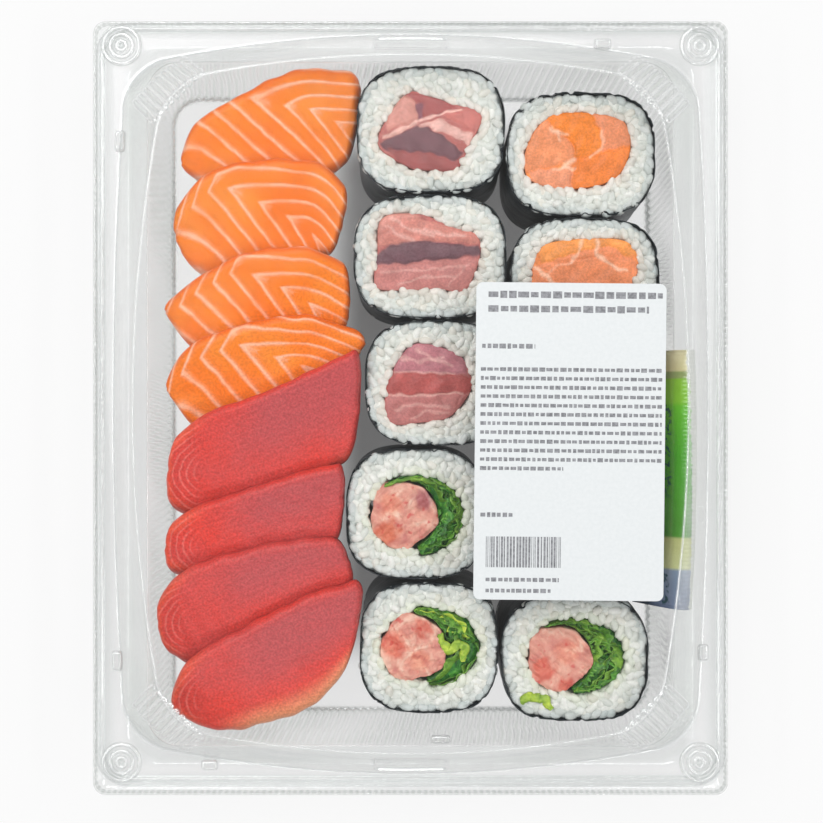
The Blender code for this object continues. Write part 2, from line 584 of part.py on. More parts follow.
class Slice:
    """One slice of fish: where it lies, and the heights of its faces as functions of x and y."""

    def __init__(self, upper, lower, before):
        self.upper = [(x * MM, y * MM) for x, y in upper]
        self.lower = [(x * MM, y * MM) for x, y in lower]
        self.before = before
        left = (Vector(self.upper[0]) + Vector(self.lower[0])) / 2
        right = (Vector(self.upper[-1]) + Vector(self.lower[-1])) / 2
        self.along = (right - left).normalized()
        self.centre = (Vector(self.upper[2]) + Vector(self.lower[2])) / 2

    def local(self, x, y):
        offset = Vector((x, y)) - self.centre
        return offset.dot(self.along), offset.dot(Vector((-self.along.y, self.along.x)))

    def bottom(self, x, y):
        t, s = self.local(x, y)
        own = SLICE_TOP_Z - SLICE_THICKNESS + SLICE_LEAN * s - SLICE_DROOP * t * t
        return max(own, self.before.top(x, y) + SLICE_GAP) if self.before else own

    def top(self, x, y):
        return self.bottom(x, y) + SLICE_THICKNESS


def fish_slice(name, piece, material, group):
    """The slice as a slab between its two edges, thin at the rim and full inside."""
    def build(shape):
        upper, lower = [], []
        for v in SLICE_V:
            spots = [smooth_edge(piece.upper, u).lerp(smooth_edge(piece.lower, u), v) for u in SLICE_U]
            floor = [piece.bottom(*spot) for spot in spots]
            walls = [SLICE_EDGE if {u, v} & {0.0, 1.0} else SLICE_THICKNESS for u in SLICE_U]
            lower.append([(*spot, low) for spot, low in zip(spots, floor)])
            upper.append([(*spot, low + wall) for spot, low, wall in zip(spots, floor, walls)])
        slab(shape, upper, lower)

    add_object(name, mesh_from(name, build), material, group)


def rice_finger(name, piece, material, group):
    """The pressed rice under a slice: a rounded bar whose top follows the fish, bumpy with grains."""
    draw = random.Random(f"finger {name}")
    foot = SHEET + GAP
    across = Vector((-piece.along.y, piece.along.x))
    middle = piece.centre + across * FINGER_SHIFT

    def rounded(value, power=0.55):
        return math.copysign(abs(value) ** power, value)

    def build(shape):
        bmesh.ops.create_uvsphere(shape, u_segments=12, v_segments=6, radius=1.0)
        for vert in shape.verts:
            x, y, z = vert.co
            flat = math.hypot(x, y)
            spread = rounded(flat) / flat if flat > 1e-6 else 0.0
            grain = 1.0 + draw.uniform(-1.0, 1.0) * FINGER_GRAIN
            spot = middle + piece.along * (FINGER_HALF[0] * rounded(x) * spread * grain)
            spot += across * (FINGER_HALF[1] * rounded(y) * spread * grain)
            ceiling = piece.bottom(*spot) - FINGER_GAP
            vert.co = (*spot, foot + (ceiling - foot) * (rounded(z) + 1) / 2)

    add_object(name, mesh_from(name, build), material, group)


def sachet(material, group):
    """A filled pillow of film leaning over the tray's rim, with a flat crimped seam along its upper edge."""
    line = [Vector((x * MM, z * MM)) for x, z in SACHET_LINE]
    normals = []
    for index in range(len(line)):
        ahead = line[min(index + 1, len(line) - 1)] - line[max(index - 1, 0)]
        normals.append(Vector((-ahead.y, ahead.x)).normalized())

    def build(shape):
        upper, lower = [], []
        for step in SACHET_STEPS:
            y = SACHET_Y[0] + (SACHET_Y[1] - SACHET_Y[0]) * step
            bow = SACHET_BOW * (y - SACHET_BOW_Y) ** 2
            inside = min(step, 1 - step)
            fill = min(1.0, SACHET_ENDS[1] + SACHET_ENDS[2] * inside) if inside else SACHET_ENDS[0]
            halves = [max(thick * MM * fill, SACHET_FILM) / 2 for thick in SACHET_THICK]
            for grid, side in ((upper, 1), (lower, -1)):
                row = [spot + normal * half * side for spot, normal, half in zip(line, normals, halves)]
                grid.append([(place.x - bow, y, place.y) for place in row])
        slab(shape, upper, lower)

    add_object("sachet", mesh_from("sachet", build), material, group)


def main():
    clear_scene()
    parts = new_collection("sushi_tray")
    details = new_collection("lid_details")
    clear = new_material("clear_plastic", (0.86, 0.88, 0.88), 0.08, 0.25)
    paper = new_material("label_paper", (0.92, 0.92, 0.93), 0.5)
    seaweed = new_material("seaweed", (0.012, 0.02, 0.02), 0.55)
    cooked_rice = new_material("cooked_rice", (0.75, 0.77, 0.74), 0.4)
    fish = {
        "salmon": new_material("salmon", (0.85, 0.2, 0.045), 0.3),
        "tuna": new_material("tuna", (0.55, 0.06, 0.055), 0.3),
        "minced": new_material("minced_tuna", (0.72, 0.3, 0.24), 0.4),
    }
    leaf = new_material("leaves", (0.04, 0.18, 0.02), 0.45)
    film = new_material("sachet_film", (0.08, 0.32, 0.03), 0.25)

    tray_base(clear, parts)
    lid(clear, parts, details)
    label(paper, parts)
    sachet(film, parts)
    for name, (x, y, width, depth, filling) in ROLLS.items():
        centre = (x * MM, y * MM)
        size = (width * MM, depth * MM)
        nori(name, centre, *size, seaweed, parts)
        rice(name, centre, *size, cooked_rice, parts)
        fish_core(name, centre, *size, fish[filling], parts)
        if filling == "minced":
            leaves(name, centre, leaf, parts)
    before = None
    for name, (upper, lower) in SLICES.items():
        piece = Slice(upper, lower, before)
        fish_slice(f"slice_{name}", piece, fish[name.split("_")[0]], parts)
        rice_finger(f"finger_{name}", piece, cooked_rice, parts)
        before = piece


main()
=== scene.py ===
# Takeaway sushi tray: the looks of the clear pack, its label, sachet, rolls and nigiri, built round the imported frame
import math

import bmesh
import bpy
import numpy as np
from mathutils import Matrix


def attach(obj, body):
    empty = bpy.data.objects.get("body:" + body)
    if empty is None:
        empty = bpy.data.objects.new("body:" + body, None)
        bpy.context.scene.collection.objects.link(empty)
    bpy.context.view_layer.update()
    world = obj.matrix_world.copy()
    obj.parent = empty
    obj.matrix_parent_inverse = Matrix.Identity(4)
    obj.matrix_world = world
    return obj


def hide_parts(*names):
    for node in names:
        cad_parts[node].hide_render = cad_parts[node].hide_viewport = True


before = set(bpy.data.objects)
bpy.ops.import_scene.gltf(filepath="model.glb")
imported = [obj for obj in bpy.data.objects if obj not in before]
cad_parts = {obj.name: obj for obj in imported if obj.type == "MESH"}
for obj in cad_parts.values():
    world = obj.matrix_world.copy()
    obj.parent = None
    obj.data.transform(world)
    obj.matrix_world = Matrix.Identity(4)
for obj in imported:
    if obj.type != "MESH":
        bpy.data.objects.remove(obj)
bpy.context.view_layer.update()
mm = 0.001
turn = 2 * math.pi
print("frame loaded")


# The camera hangs straight over the pack, a little off its middle, as in the photograph
view = {"place": (0.0003, -0.0011, 0.475), "lens": 61.5, "sensor": 36}

cameraData = bpy.data.cameras.new("overheadCamera")
cameraData.lens = view["lens"]
cameraData.sensor_width = view["sensor"]
camera = bpy.data.objects.new("overheadCamera", cameraData)
camera.location = view["place"]
bpy.context.scene.collection.objects.link(camera)
bpy.context.scene.camera = camera
bpy.context.scene.view_settings.view_transform = "Standard"  # the whites and the orange come out as the hex values say
cycles = bpy.context.scene.cycles
cycles.max_bounces, cycles.diffuse_bounces, cycles.glossy_bounces = 4, 2, 1
cycles.caustics_reflective = cycles.caustics_refractive = False
cycles.transparent_max_bounces = 16  # a line of sight crosses up to eight faces of clear sheet


def linear(code):
    # sRGB hex to linear light
    values = np.array([int(code[i:i + 2], 16) for i in (0, 2, 4)]) / 255
    return np.where(values <= 0.04045, values / 12.92, ((values + 0.055) / 1.055) ** 2.4)


def paint(code):
    return (*linear(code), 1.0)


def addNode(tree, kind, inputs=None, stops=None, **settings):
    # one node with its settings, its input values or links, and a ramp's stops
    node = tree.nodes.new(kind)
    for key, value in settings.items():
        setattr(node, key, value)
    for key, value in (inputs or {}).items():
        if isinstance(value, bpy.types.NodeSocket):
            tree.links.new(value, node.inputs[key])
        else:
            node.inputs[key].default_value = value
    if stops:
        ramp = node.color_ramp.elements
        while len(ramp) < len(stops):
            ramp.new(0.5)
        for element, (place, colour) in zip(ramp, stops):
            element.position = place
            element.color = paint(colour) if isinstance(colour, str) else (colour, colour, colour, 1.0)
    return node


def newMaterial(name, **values):
    # a material with one Principled shader and the plain values of its sockets
    material = bpy.data.materials.new(name)
    material.use_nodes = True
    tree = material.node_tree
    shader = tree.nodes["Principled BSDF"]
    for key, value in values.items():
        shader.inputs[key.replace("_", " ")].default_value = value
    return material, tree, shader


def link(tree, source, target):
    tree.links.new(source, target)


# Cast PET sheet, vacuum formed: clear and glossy, with painted highlights along its creases and greyer slopes. Sheet is
# 0.3 to 0.5 mm thick.
def clearSheet():
    material, tree, shader = newMaterial("clearPetSheet", Roughness=0.06, IOR=1.57)
    shader.inputs["Base Color"].default_value = paint("F6F7F7")
    shader.inputs["Metallic"].default_value = 0.3  # the share of the haze that mirrors, as both faces of a sheet do
    # slopes of the sheet bend the light away: they show greyer and hazier than its level stretches
    level = addNode(tree, "ShaderNodeSeparateXYZ", {0: addNode(tree, "ShaderNodeNewGeometry").outputs["Normal"]})
    level = addNode(tree, "ShaderNodeMath", {0: level.outputs["Z"]}, operation="ABSOLUTE")
    slope = addNode(tree, "ShaderNodeMath", {0: 1.0, 1: level.outputs["Value"]}, operation="SUBTRACT").outputs["Value"]
    depth = addNode(tree, "ShaderNodeValToRGB", {"Fac": slope},
                    stops=((0.0, "FCFCFC"), (0.02, "F7F8F8"), (0.06, "EFF1F0"), (0.13, "F2F3F3"), (0.25, "F6F7F6"),
                           (0.5, "F8F8F8"), (0.8, "FAFAFA"), (1.0, "FAFAFA")))
    # the ramp's alpha is the share of haze
    for element, share in zip(depth.color_ramp.elements, (0.01, 0.03, 0.09, 0.12, 0.12, 0.1, 0.085, 0.08)):
        element.alpha = share
    # painted shade: the groove attribute gives the grooves of the tray's ribs and knurl a greyer tint
    groove = addNode(tree, "ShaderNodeAttribute", attribute_name="groove").outputs["Fac"]
    grooveShaded = addNode(tree, "ShaderNodeMix", {0: groove, 6: depth.outputs["Color"], 7: paint("ECEEEC")},
                     data_type="RGBA")
    facing = addNode(tree, "ShaderNodeLayerWeight", {"Blend": 0.5}).outputs["Facing"]
    grazing = addNode(tree, "ShaderNodeValToRGB", {"Fac": facing}, stops=((0.5, 0.0), (0.8, 0.12), (1.0, 0.5)))
    haze = addNode(tree, "ShaderNodeMath", {0: depth.outputs["Alpha"], 1: grazing.outputs["Color"]}, operation="ADD")
    # painted highlights: the crease attribute adds white haze along the sheet's creases, ridges and edges
    crease = addNode(tree, "ShaderNodeAttribute", attribute_name="crease").outputs["Fac"]
    glintedHaze = addNode(tree, "ShaderNodeMath", {0: crease, 1: 0.6, 2: haze.outputs["Value"]}, operation="MULTIPLY_ADD",
                       use_clamp=True)
    clear = addNode(tree, "ShaderNodeBsdfTransparent", {"Color": grooveShaded.outputs[2]})
    mix = addNode(tree, "ShaderNodeMixShader", {0: glintedHaze.outputs["Value"], 1: clear.outputs["BSDF"],
                                                2: shader.outputs["BSDF"]})
    link(tree, mix.outputs["Shader"], tree.nodes["Material Output"].inputs["Surface"])
    return material


# Coated thermal paper: smooth, cool white, with a faint fibre
def labelPaper():
    material, tree, shader = newMaterial("thermalPaper", Roughness=0.42, IOR=1.5)
    place = addNode(tree, "ShaderNodeTexCoord").outputs["Object"]
    fibre = addNode(tree, "ShaderNodeTexNoise", {"Vector": place, "Scale": 900.0, "Detail": 4.0})  # 1 mm fibres
    shade = addNode(tree, "ShaderNodeValToRGB", {"Fac": fibre.outputs["Fac"]},
                    stops=((0.2, "D0D4D5"), (0.8, "D8DBDC")))
    link(tree, shade.outputs["Color"], shader.inputs["Base Color"])
    return material


# Thermal print: the heated coating turns a flat dark grey, a little uneven
def printInk():
    material, tree, shader = newMaterial("thermalPrint", Roughness=0.5)
    place = addNode(tree, "ShaderNodeTexCoord").outputs["Object"]
    patch = addNode(tree, "ShaderNodeTexNoise", {"Vector": place, "Scale": 1400.0, "Detail": 2.0})  # 0.7 mm dots
    shade = addNode(tree, "ShaderNodeValToRGB", {"Fac": patch.outputs["Fac"]},
                    stops=((0.3, "6A6B6F"), (0.7, "96979B")))
    link(tree, shade.outputs["Color"], shader.inputs["Base Color"])
    return material


# Raw salmon, sliced: moist orange muscle in chevrons, parted by pale fat about 1.3 mm wide and 5 mm apart
def salmonFlesh():
    material, tree, shader = newMaterial("salmonSlice", Roughness=0.36, IOR=1.4, Specular_IOR_Level=0.35)
    place = addNode(tree, "ShaderNodeTexCoord").outputs["Object"]
    field = addNode(tree, "ShaderNodeAttribute", attribute_name="muscleLine").outputs["Fac"]
    rim = addNode(tree, "ShaderNodeAttribute", attribute_name="rim").outputs["Fac"]
    drift = addNode(tree, "ShaderNodeTexNoise", {"Vector": place, "Scale": 160.0, "Detail": 3.0})
    shift = addNode(tree, "ShaderNodeMath", {0: drift.outputs["Fac"], 1: 0.28, 2: field}, operation="MULTIPLY_ADD")
    part = addNode(tree, "ShaderNodeMath", {0: shift.outputs["Value"]}, operation="FRACT")
    fat = addNode(tree, "ShaderNodeValToRGB", {"Fac": part.outputs["Value"]},
                  stops=((0.0, 0.6), (0.04, 1.0), (0.11, 0.95), (0.19, 0.3), (0.32, 0.05), (0.9, 0.0), (1.0, 0.5)))
    bend = addNode(tree, "ShaderNodeAttribute", attribute_name="apex").outputs["Fac"]
    bent = addNode(tree, "ShaderNodeMath", {0: part.outputs["Value"], 1: 0.45}, operation="LESS_THAN")
    corner = addNode(tree, "ShaderNodeMath", {0: bend, 1: bent.outputs["Value"]}, operation="MULTIPLY")
    fatty = addNode(tree, "ShaderNodeMath", {0: corner.outputs["Value"], 1: 0.5, 2: fat.outputs["Color"]},
                    operation="MULTIPLY_ADD", use_clamp=True)
    rich = addNode(tree, "ShaderNodeTexNoise", {"Vector": place, "Scale": 110.0, "Detail": 3.0})  # 9 mm patches
    rich = addNode(tree, "ShaderNodeValToRGB", {"Fac": rich.outputs["Fac"]}, stops=((0.32, 0.55), (0.55, 1.0)))
    fatty = addNode(tree, "ShaderNodeMath", {0: fatty.outputs["Value"], 1: rich.outputs["Color"]}, operation="MULTIPLY")
    cloud = addNode(tree, "ShaderNodeTexNoise", {"Vector": place, "Scale": 55.0, "Detail": 2.0})
    flesh = addNode(tree, "ShaderNodeValToRGB", {"Fac": cloud.outputs["Fac"]},
                    stops=((0.3, "F07412"), (0.5, "F27F1C"), (0.7, "F48C2E")))
    edge = addNode(tree, "ShaderNodeMix", {0: rim, 6: flesh.outputs["Color"], 7: paint("EE6E1C")}, data_type="RGBA")
    marbled = addNode(tree, "ShaderNodeMix", {0: fatty.outputs["Value"], 6: edge.outputs[2], 7: paint("F9B795")},
                      data_type="RGBA")
    grain = addNode(tree, "ShaderNodeTexNoise", {"Vector": place, "Scale": 1500.0, "Detail": 3.0})  # 0.7 mm fibres
    speck = addNode(tree, "ShaderNodeValToRGB", {"Fac": grain.outputs["Fac"]}, stops=((0.35, 0.87), (0.65, 1.12)))
    speckled = addNode(tree, "ShaderNodeMix", {0: 1.0, 6: marbled.outputs[2], 7: speck.outputs["Color"]},
                       data_type="RGBA", blend_type="MULTIPLY")
    link(tree, speckled.outputs[2], shader.inputs["Base Color"])
    bump = addNode(tree, "ShaderNodeBump", {"Height": grain.outputs["Fac"], "Strength": 0.25, "Distance": 0.0003})
    link(tree, bump.outputs["Normal"], shader.inputs["Normal"])
    return material


# Raw lean tuna, sliced: deep red with a painted pinkish sheen, painted shade where it tucks under, a painted glow at
# the thin left ends, fine lighter muscle lines and a translucent yellow rim
def tunaFlesh():
    material, tree, shader = newMaterial("tunaSlice", Roughness=0.36, IOR=1.4, Specular_IOR_Level=0.35)
    place = addNode(tree, "ShaderNodeTexCoord").outputs["Object"]
    field = addNode(tree, "ShaderNodeAttribute", attribute_name="muscleLine").outputs["Fac"]
    rim = addNode(tree, "ShaderNodeAttribute", attribute_name="rim").outputs["Fac"]
    fatRim = addNode(tree, "ShaderNodeAttribute", attribute_name="fatRim").outputs["Fac"]
    cloud = addNode(tree, "ShaderNodeTexNoise", {"Vector": place, "Scale": 42.0, "Detail": 3.0})
    flesh = addNode(tree, "ShaderNodeValToRGB", {"Fac": cloud.outputs["Fac"]},
                    stops=((0.3, "DC3D30"), (0.48, "D24038"), (0.7, "CB4A47")))
    # painted glow: brighter orange-red at the thin left ends, light through thin flesh
    edge = addNode(tree, "ShaderNodeMix", {0: rim, 6: flesh.outputs["Color"], 7: paint("E2563C")}, data_type="RGBA")
    # painted sheen: a pinkish matt reflection laid over the upper halves of the slices
    paintedSheen = addNode(tree, "ShaderNodeAttribute", attribute_name="paintedSheen").outputs["Fac"]
    withSheen = addNode(tree, "ShaderNodeMix", {0: paintedSheen, 6: edge.outputs[2], 7: paint("BA4C4E")}, data_type="RGBA")
    tan = addNode(tree, "ShaderNodeMix", {0: fatRim, 6: withSheen.outputs[2], 7: paint("DE9168")}, data_type="RGBA")
    # painted shade: deep red along the slices' lower edges under the next slice and at the right ends under the rolls
    paintedShade = addNode(tree, "ShaderNodeAttribute", attribute_name="paintedShade").outputs["Fac"]
    tan = addNode(tree, "ShaderNodeMix", {0: paintedShade, 6: tan.outputs[2], 7: paint("B02A26")}, data_type="RGBA")
    drift = addNode(tree, "ShaderNodeTexNoise", {"Vector": place, "Scale": 120.0, "Detail": 3.0})
    shift = addNode(tree, "ShaderNodeMath", {0: drift.outputs["Fac"], 1: 1.2, 2: field}, operation="MULTIPLY_ADD")
    part = addNode(tree, "ShaderNodeMath", {0: shift.outputs["Value"]}, operation="FRACT")
    sinew = addNode(tree, "ShaderNodeValToRGB", {"Fac": part.outputs["Value"]},
                    stops=((0.0, 1.0), (0.1, 0.8), (0.25, 0.0), (0.85, 0.0), (1.0, 1.0)))
    arcs = addNode(tree, "ShaderNodeAttribute", attribute_name="arcs").outputs["Fac"]
    amount = addNode(tree, "ShaderNodeMath", {0: arcs, 1: 0.38, 2: 0.05}, operation="MULTIPLY_ADD")
    amount = addNode(tree, "ShaderNodeMath", {0: amount.outputs["Value"], 1: sinew.outputs["Color"]},
                     operation="MULTIPLY")
    lined = addNode(tree, "ShaderNodeMix", {0: amount.outputs["Value"], 6: tan.outputs[2], 7: paint("E9857A")},
                    data_type="RGBA")
    grain = addNode(tree, "ShaderNodeTexNoise", {"Vector": place, "Scale": 1500.0, "Detail": 3.0})  # 0.7 mm fibres
    speck = addNode(tree, "ShaderNodeValToRGB", {"Fac": grain.outputs["Fac"]}, stops=((0.33, 0.8), (0.67, 1.22)))
    speckled = addNode(tree, "ShaderNodeMix", {0: 1.0, 6: lined.outputs[2], 7: speck.outputs["Color"]},
                       data_type="RGBA", blend_type="MULTIPLY")
    link(tree, speckled.outputs[2], shader.inputs["Base Color"])
    bump = addNode(tree, "ShaderNodeBump", {"Height": grain.outputs["Fac"], "Strength": 0.3, "Distance": 0.0003})
    link(tree, bump.outputs["Normal"], shader.inputs["Normal"])
    return material


# Blocks of raw fish cut across the muscle: each piece has its own tone, with moist grain about 0.7 mm apart
def blockFish(name):
    material, tree, shader = newMaterial(name, Roughness=0.35, IOR=1.4, Specular_IOR_Level=0.4)
    place = addNode(tree, "ShaderNodeTexCoord").outputs["Object"]
    tone = addNode(tree, "ShaderNodeAttribute", attribute_name="meat").outputs["Color"]
    cloud = addNode(tree, "ShaderNodeTexNoise", {"Vector": place, "Scale": 240.0, "Detail": 2.0})
    soft = addNode(tree, "ShaderNodeValToRGB", {"Fac": cloud.outputs["Fac"]}, stops=((0.3, 0.86), (0.7, 1.12)))
    grain = addNode(tree, "ShaderNodeTexNoise", {"Vector": place, "Scale": 1400.0, "Detail": 3.0})
    speck = addNode(tree, "ShaderNodeValToRGB", {"Fac": grain.outputs["Fac"]}, stops=((0.32, 0.86), (0.68, 1.16)))
    for shade in (soft, speck):
        tone = addNode(tree, "ShaderNodeMix", {0: 1.0, 6: tone, 7: shade.outputs["Color"]},
                       data_type="RGBA", blend_type="MULTIPLY").outputs[2]
    link(tree, tone, shader.inputs["Base Color"])
    bump = addNode(tree, "ShaderNodeBump", {"Height": grain.outputs["Fac"], "Strength": 0.35, "Distance": 0.0003})
    link(tree, bump.outputs["Normal"], shader.inputs["Normal"])
    return material


# Fatty tuna scraped and minced: pink paste with paler marbling about 3 mm apart and a few red flecks
def mincedTuna():
    material, tree, shader = newMaterial("mincedTuna", Roughness=0.38, IOR=1.4, Specular_IOR_Level=0.4)
    place = addNode(tree, "ShaderNodeTexCoord").outputs["Object"]
    cloud = addNode(tree, "ShaderNodeTexNoise", {"Vector": place, "Scale": 130.0, "Detail": 5.0, "Distortion": 1.6})
    paste = addNode(tree, "ShaderNodeValToRGB", {"Fac": cloud.outputs["Fac"]},
                    stops=((0.3, "C47A70"), (0.44, "D49080"), (0.56, "DFA592"), (0.7, "ECC6B2")))
    fleck = addNode(tree, "ShaderNodeTexNoise", {"Vector": place, "Scale": 420.0, "Detail": 1.0})
    red = addNode(tree, "ShaderNodeValToRGB", {"Fac": fleck.outputs["Fac"]}, stops=((0.64, 0.0), (0.74, 0.75)))
    spotted = addNode(tree, "ShaderNodeMix", {0: red.outputs["Color"], 6: paste.outputs["Color"],
                                              7: paint("C7504A")}, data_type="RGBA")
    patch = addNode(tree, "ShaderNodeAttribute", attribute_name="meat").outputs["Color"]
    patched = addNode(tree, "ShaderNodeMix", {0: 1.0, 6: spotted.outputs[2], 7: patch},
                      data_type="RGBA", blend_type="MULTIPLY")
    link(tree, patched.outputs[2], shader.inputs["Base Color"])
    bump = addNode(tree, "ShaderNodeBump", {"Height": fleck.outputs["Fac"], "Strength": 0.4, "Distance": 0.0006})
    link(tree, bump.outputs["Normal"], shader.inputs["Normal"])
    return material


# Cooked short-grain rice: moist, slightly translucent white, with painted bluish shade beside the seaweed and tinted
# where it touches fish or leaves
def cookedRice():
    material, tree, shader = newMaterial("cookedRice", Roughness=0.38, IOR=1.38)
    place = addNode(tree, "ShaderNodeTexCoord").outputs["Object"]
    # the tint attribute carries painted shade beside the seaweed, stains from the filling and each grain's own tone
    tintColour = addNode(tree, "ShaderNodeAttribute", attribute_name="grainTint").outputs["Color"]
    cloud = addNode(tree, "ShaderNodeTexNoise", {"Vector": place, "Scale": 330.0, "Detail": 2.0})  # grain by grain
    shade = addNode(tree, "ShaderNodeValToRGB", {"Fac": cloud.outputs["Fac"]}, stops=((0.3, 0.8), (0.65, 0.93)))
    mixed = addNode(tree, "ShaderNodeMix", {0: 1.0, 6: tintColour, 7: shade.outputs["Color"]},
                    data_type="RGBA", blend_type="MULTIPLY")
    link(tree, mixed.outputs[2], shader.inputs["Base Color"])
    return material


# Pressed and toasted seaweed: nearly black blue-green, matt with a slight shine, mottled every 2 mm
def pressedSeaweed():
    material, tree, shader = newMaterial("pressedSeaweed", Roughness=0.42, IOR=1.45, Specular_IOR_Level=0.45)
    place = addNode(tree, "ShaderNodeTexCoord").outputs["Object"]
    mottle = addNode(tree, "ShaderNodeTexNoise", {"Vector": place, "Scale": 480.0, "Detail": 5.0})
    shade = addNode(tree, "ShaderNodeValToRGB", {"Fac": mottle.outputs["Fac"]},
                    stops=((0.3, "080E12"), (0.55, "121D24"), (0.75, "24322F")))
    link(tree, shade.outputs["Color"], shader.inputs["Base Color"])
    bump = addNode(tree, "ShaderNodeBump", {"Height": mottle.outputs["Fac"], "Strength": 0.5, "Distance": 0.0004})
    link(tree, bump.outputs["Normal"], shader.inputs["Normal"])
    return material


# Fresh salad leaf: waxy, dark green on the blade, paler along the veins, yellow-green near the heart
def freshLeaf():
    material, tree, shader = newMaterial("freshLeaf", Roughness=0.36, IOR=1.42)
    place = addNode(tree, "ShaderNodeTexCoord").outputs["Object"]
    heart = addNode(tree, "ShaderNodeAttribute", attribute_name="heart").outputs["Fac"]
    vein = addNode(tree, "ShaderNodeTexNoise", {"Vector": place, "Scale": 360.0, "Detail": 3.0, "Distortion": 1.5})
    blade = addNode(tree, "ShaderNodeValToRGB", {"Fac": vein.outputs["Fac"]},
                    stops=((0.3, "144A14"), (0.5, "2A7420"), (0.62, "4C9630"), (0.75, "86B84C")))
    pale = addNode(tree, "ShaderNodeValToRGB", {"Fac": vein.outputs["Fac"]}, stops=((0.3, "8DB62A"), (0.7, "D3E052")))
    mixed = addNode(tree, "ShaderNodeMix", {0: heart, 6: blade.outputs["Color"], 7: pale.outputs["Color"]},
                    data_type="RGBA")
    link(tree, mixed.outputs[2], shader.inputs["Base Color"])
    bump = addNode(tree, "ShaderNodeBump", {"Height": vein.outputs["Fac"], "Strength": 0.5, "Distance": 0.0005})
    link(tree, bump.outputs["Normal"], shader.inputs["Normal"])
    return material


# Gravure-printed laminate film: bands of cream, greens and slate under a glossy layer, with a clear crimped seam
def sachetFilm():
    material, tree, shader = newMaterial("printedLaminate", Roughness=0.2, IOR=1.5)
    shader.inputs["Coat Weight"].default_value = 0.6
    shader.inputs["Coat Roughness"].default_value = 0.08
    along = addNode(tree, "ShaderNodeAttribute", attribute_name="along").outputs["Fac"]
    across = addNode(tree, "ShaderNodeAttribute", attribute_name="across").outputs["Fac"]
    bands = addNode(tree, "ShaderNodeValToRGB", {"Fac": along}, stops=(
        (0.0, "6F80A0"), (0.150, "8FA3BC"), (0.160, "DCE2A4"), (0.272, "CDD38C"), (0.282, "56A036"),
        (0.60, "52B22A"), (0.78, "6CC82C"), (0.80, "8ED236"), (0.888, "93D03C"), (0.893, "9DAF6D"),
        (0.915, "9DAF6D"), (0.92, "E6DFA8"), (1.0, "EBE6BC")))
    left = addNode(tree, "ShaderNodeValToRGB", {"Fac": across}, stops=((0.30, 0.55), (0.45, 1.0)))
    shaded = addNode(tree, "ShaderNodeMix", {0: 1.0, 6: bands.outputs["Color"], 7: left.outputs["Color"]},
                     data_type="RGBA", blend_type="MULTIPLY")
    # the print frays into the clear crimp, and runs wider at the lower end
    place = addNode(tree, "ShaderNodeTexCoord").outputs["Object"]
    fray = addNode(tree, "ShaderNodeTexNoise", {"Vector": place, "Scale": 700.0, "Detail": 3.0})  # 1.4 mm flakes
    edge = addNode(tree, "ShaderNodeMath", {0: along, 1: 0.085, 2: across}, operation="MULTIPLY_ADD")
    edge = addNode(tree, "ShaderNodeMath", {0: fray.outputs["Fac"], 1: 0.09, 2: edge.outputs["Value"]},
                   operation="MULTIPLY_ADD")
    seam = addNode(tree, "ShaderNodeValToRGB", {"Fac": edge.outputs["Value"]}, stops=((0.975, 0.0), (0.995, 1.0)))
    # a column of dark teal and navy flecks
    column = addNode(tree, "ShaderNodeValToRGB", {"Fac": across}, stops=((0.5, 0.0), (0.54, 1.0), (0.66, 1.0), (0.7, 0.0)))
    stretch = addNode(tree, "ShaderNodeValToRGB", {"Fac": along}, stops=((0.01, 0.0), (0.02, 0.9), (0.13, 0.9), (0.14, 0.0),
                      (0.42, 0.0), (0.46, 0.8), (0.78, 0.8), (0.8, 0.0)))
    fleck = addNode(tree, "ShaderNodeValToRGB", {"Fac": fray.outputs["Fac"]}, stops=((0.5, 0.0), (0.56, 1.0)))
    marked = addNode(tree, "ShaderNodeMath", {0: column.outputs["Color"], 1: stretch.outputs["Color"]},
                     operation="MULTIPLY")
    marked = addNode(tree, "ShaderNodeMath", {0: marked.outputs["Value"], 1: fleck.outputs["Color"]},
                     operation="MULTIPLY")
    shaded = addNode(tree, "ShaderNodeMix", {0: marked.outputs["Value"], 6: shaded.outputs[2], 7: paint("1E4C50")},
                     data_type="RGBA")
    mixed = addNode(tree, "ShaderNodeMix", {0: seam.outputs["Color"], 6: shaded.outputs[2], 7: paint("E4E7DE")},
                    data_type="RGBA")
    link(tree, mixed.outputs[2], shader.inputs["Base Color"])
    crease = addNode(tree, "ShaderNodeTexNoise", {"Vector": place, "Scale": 260.0, "Detail": 2.0})
    bump = addNode(tree, "ShaderNodeBump", {"Height": crease.outputs["Fac"], "Strength": 0.35, "Distance": 0.0008})
    link(tree, bump.outputs["Normal"], shader.inputs["Normal"])
    return material


